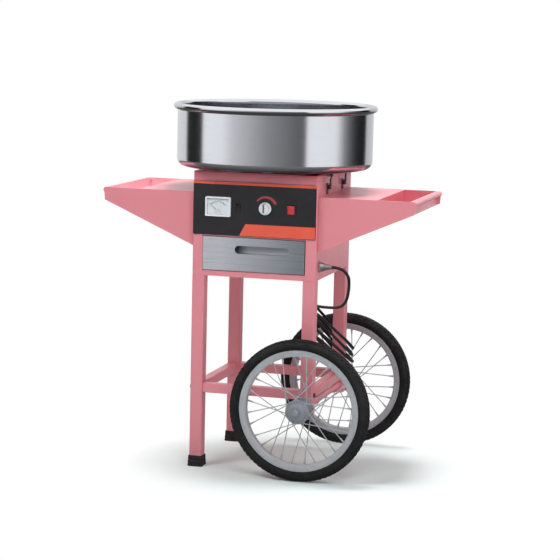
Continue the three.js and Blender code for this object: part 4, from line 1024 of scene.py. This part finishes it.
heat_scale()
knob_pieces()
meter_pieces()
build("needle_lance", needle_parts(), "needle", INK, ["meter_needle"])
needle_pin = lathe([(0, -2.25), (0.8, -2.25), (1.04, -2.05), (1.04, 0.2), (0, 0.2)], 24,
                   closed=False)
needle_place = shift(METER_X, NEEDLE_Y + 1.2, PIVOT_Z) @ turned(-90, "X")
build("needle_pin", [moved(needle_pin, needle_place)], "cart", SATIN)
for name, x, width, height, material, slot in (
        ("power", 95, 25, 29, RED, "red_plastic"),
        ("heat", -43, 14, 22, BLACK, "black_plastic")):
    build(f"{name}_paddle", rocker_parts(width, height, x), f"{name}_rocker", material,
          [f"{name}_switch_rocker"])


# Frame, latches, motor and fasteners
def foot_parts(y):
    """Rubber boot with ribs, round the end of a left leg."""
    levels = [(1.2, 0), (0.3, 0.8), (0, 2.2), (0.2, 5), (1, 6.2), (1, 7.6), (0.4, 8.6),
              (0.8, 15), (1.6, 16), (1.6, 17.2), (0.9, 18), (1.4, 26.6), (1.9, 27.6), (3.2, 28)]
    sections = [(40 - 2 * inset, 5.4, z) for inset, z in levels]
    sections += [(32.8, 3.2, 28), (32.8, 3.2, 6)]
    loops = [[(px, py, z) for px, py in rounded_loop(size, size, corner, 6)]
             for size, corner, z in sections]
    return [moved(loops_shape(loops), shift(-LEG_X, y, 0))]


for end_name, y in zip(ENDS, (-LEG_Y, LEG_Y)):
    build(f"boot_{end_name}", foot_parts(y), "cart", FOOT, [f"foot_{end_name}_left"],
          sharp=50)
washer = lathe([(0, -0.3), (6.2, -0.3), (6.4, 0.2), (6.4, 0.9), (6, 1.2), (0, 1.2)], 32,
               closed=False)
bolt = [washer, hexagon(5.4, ((1, 1), (1, 3.6), (0.9, 4.3)))]
bolts = []
for side in (-1, 1):
    for y in (-LEG_Y, LEG_Y):
        place = shift(side * SIDE_X, y, STRETCHER_TOP - 12)
        bolts += all_moved(bolt, place @ turned_to((side, 0, 0)))
build("frame_bolts", bolts, "cart", DARK_STEEL, bevel=0.3)

screws = [moved(screw_head(2.4, 1.2), shift(x, PANEL_FACE, z) @ turned_to((0, -1, 0)))
          for x in (-151, 151) for z in (636, 714)]
build("panel_screws", screws, "cart", BLACK)

screw = screw_head(3.2, 1.6)
screws = [moved(screw, shift(side * SIDE_X, y, 741) @ turned_to((side, 0, 0)))
          for side in (-1, 1) for y in (-163, 163)]
screws += [moved(screw, shift(x, REAR_Y, z) @ turned_to((0, 1, 0)))
           for x in (-140, 0, 140) for z in (500, 742)]
build("cabinet_screws", screws, "cart", PINK)

# The CAD nodes that are kept, with the width of their softened edges
CORNERS = [f"{end_name}_{side_name}" for end_name in ENDS for side_name in SIDES]
for stem, endings, material, bevel in (
        ("leg_", CORNERS, PINK, 0), ("stretcher_", ENDS + SIDES, PINK, 0),
        ("deck_", SIDES, PINK, 0.5), ("tray_", SIDES, PINK, 0.6), ("top_plate", "", PINK, 0.5),
        ("cabinet_shell", "", PINK, 0.7), ("control_panel", "", PANEL, 0.5),
        ("power_switch_bezel", "", BLACK, 0.5), ("heat_switch_bezel", "", BLACK, 0.5),
        ("heat_regulator", "", BLACK, 0.4), ("meter_lens", "", GLASS, 0.2),
        ("divider_plate", "", SATIN, 0), ("drawer_runner_", SIDES, SATIN, 0.3),
        ("spinner_shaft", "", SATIN, 0.3), ("wheel_axle", "", AXLE, 0.3),
        ("axle_nut_", ENDS, HUB, 0.4), ("latch_base_", CORNERS, DARK_STEEL, 0.35),
        ("latch_lever_", CORNERS, DARK_STEEL, 0.35), ("drive_motor", "", MOTOR, 0.5),
        ("brush_holder", "", FIBRE, 0.4)):
    for ending in endings or [""]:
        dress(stem + ending, material, bevel)


# Stage
FLOOR_LIFT = 0.04
FLOOR_SHINE = 0.2
FLOOR_MIDDLE = (0.12, -0.08, 0)
FLOOR_NEAR, FLOOR_FAR = 0.24, 0.46
SKY_LIGHT, SKY_SHINE, SKY_SEEN = 0.3, 1.1, 1
RING_R, RING_HEIGHT = 4200, 2600
# The ring's brightness by angle in degrees, from the camera's side
RING_STOPS = [
    (-180, 0.68), (-125.5, 0.72), (-121.5, 0.015), (-92.8, 0.015), (-89.8, 0.92), (-62, 0.86),
    (-50, 0.62), (-10, 0.28), (34.4, 0.09), (36, 0.92), (73, 0.87), (79.6, 0.55),
    (85.7, 0.26), (92, 0.145), (99, 0.07), (106, 0.03), (116, 0.012), (128, 0.01), (131, 0.52),
    (180, 0.68)]


def emptied(holder):
    """A new material or world, and its node tree without nodes."""
    holder.use_nodes = True
    holder.node_tree.nodes.clear()
    return holder, Shading(holder.node_tree)


def floor_material():
    """Matt floor that takes the object's shadow, and is plain white far out for the camera."""
    material, s = emptied(bpy.data.materials.new("stage_floor"))
    seen = s.ray("Is Camera Ray")
    matt = s.node("BsdfDiffuse", Color=(0.72, 0.8, 0.79, 1))
    lift = s.node("Emission", Strength=s.math("MULTIPLY", seen, FLOOR_LIFT))
    lifted = s.node("AddShader", matt.outputs[0], lift.outputs[0])
    shine = s.node("Emission", Strength=FLOOR_SHINE)
    lit = s.node("MixShader", s.ray("Is Glossy Ray"), lifted.outputs[0], shine.outputs[0])
    place = s.node("TexCoord").outputs["Object"]
    off = s.node("VectorMath", place, FLOOR_MIDDLE, operation="SUBTRACT")
    reach = s.node("VectorMath", off.outputs[0], operation="LENGTH").outputs["Value"]
    share = s.math("MULTIPLY", s.ramp(reach, FLOOR_NEAR, FLOOR_FAR), seen)
    white = s.node("Emission", Strength=1)
    mix = s.node("MixShader", share, lit.outputs[0], white.outputs[0])
    s.node("OutputMaterial", Surface=mix.outputs[0])
    return material


def ring_material():
    material, s = emptied(bpy.data.materials.new("stage_cards"))
    place = s.node("SeparateXYZ", s.node("TexCoord").outputs["Object"])
    turn = s.math("ARCTAN2", place.outputs["Y"], place.outputs["X"])
    ramp = s.node("ValToRGB", s.ramp(turn, -pi, pi))
    elements = ramp.color_ramp.elements
    elements.remove(elements[-1])
    for k, (angle, value) in enumerate(RING_STOPS):
        place = (angle + 180) / 360
        element = elements[0] if k == 0 else elements.new(place)
        element.position = place
        element.color = (value, value, value * 1.02, 1)
    light = s.node("Emission", Color=ramp.outputs[0], Strength=1.15)
    s.node("OutputMaterial", Surface=light.outputs[0])
    return material


def studio_ring():
    """Reflection cards round the set: bright and dark panels that only shiny surfaces see."""
    verts, faces = lathe([(RING_R, 1), (RING_R, RING_HEIGHT)], 180, closed=False)
    mesh = bpy.data.meshes.new("stage_cards")
    mesh.from_pydata(in_metres(verts), [], faces)
    mesh.materials.append(ring_material())
    obj = add_object("stage_cards", mesh)
    obj.rotation_euler.z = atan2(back.y, back.x)
    for kind in ("camera", "diffuse", "transmission", "volume_scatter", "shadow"):
        setattr(obj, f"visible_{kind}", False)


def area_light(name, place, target, size, energy):
    data = bpy.data.lights.new(name, "AREA")
    data.shape = "DISK"
    data.size = size
    data.energy = energy
    obj = add_object(name, data)
    obj.location = place
    obj.rotation_mode = "QUATERNION"
    obj.rotation_quaternion = (Vector(target) - Vector(place)).to_track_quat("-Z", "Y")
    obj.visible_camera = False
    obj.visible_glossy = False


bpy.ops.mesh.primitive_plane_add(size=60)
floor = bpy.context.object
floor.name = "stage_floor"
floor.data.materials.append(floor_material())

world, sky = emptied(bpy.data.worlds.new("studio"))
bpy.context.scene.world = world
shown = None
for strength, rays in ((SKY_LIGHT, ()), (SKY_SHINE, ("Is Glossy Ray",)),
                       (SKY_SEEN, ("Is Camera Ray", "Is Transmission Ray"))):
    shade = sky.node("Background", Color=(1, 1, 1, 1), Strength=strength).outputs[0]
    shown = sky.node("MixShader", sky.ray(*rays), shown, shade).outputs[0] if rays else shade
sky.node("OutputWorld", Surface=shown)

studio_ring()
area_light("key", (-1.7, -2.4, 3.9), (0, 0, 0.4), 1.8, 62)
area_light("fill", (1.9, -2.9, 3.2), (0, 0, 0.5), 2.2, 58)
area_light("top", (0.15, 0.25, 3.6), (0, 0, 0.4), 1, 118)
area_light("side", (3.6, -0.5, 0.95), (0.1, 0, 0.6), 1.6, 24)

bpy.context.scene.view_settings.view_transform = "Standard"
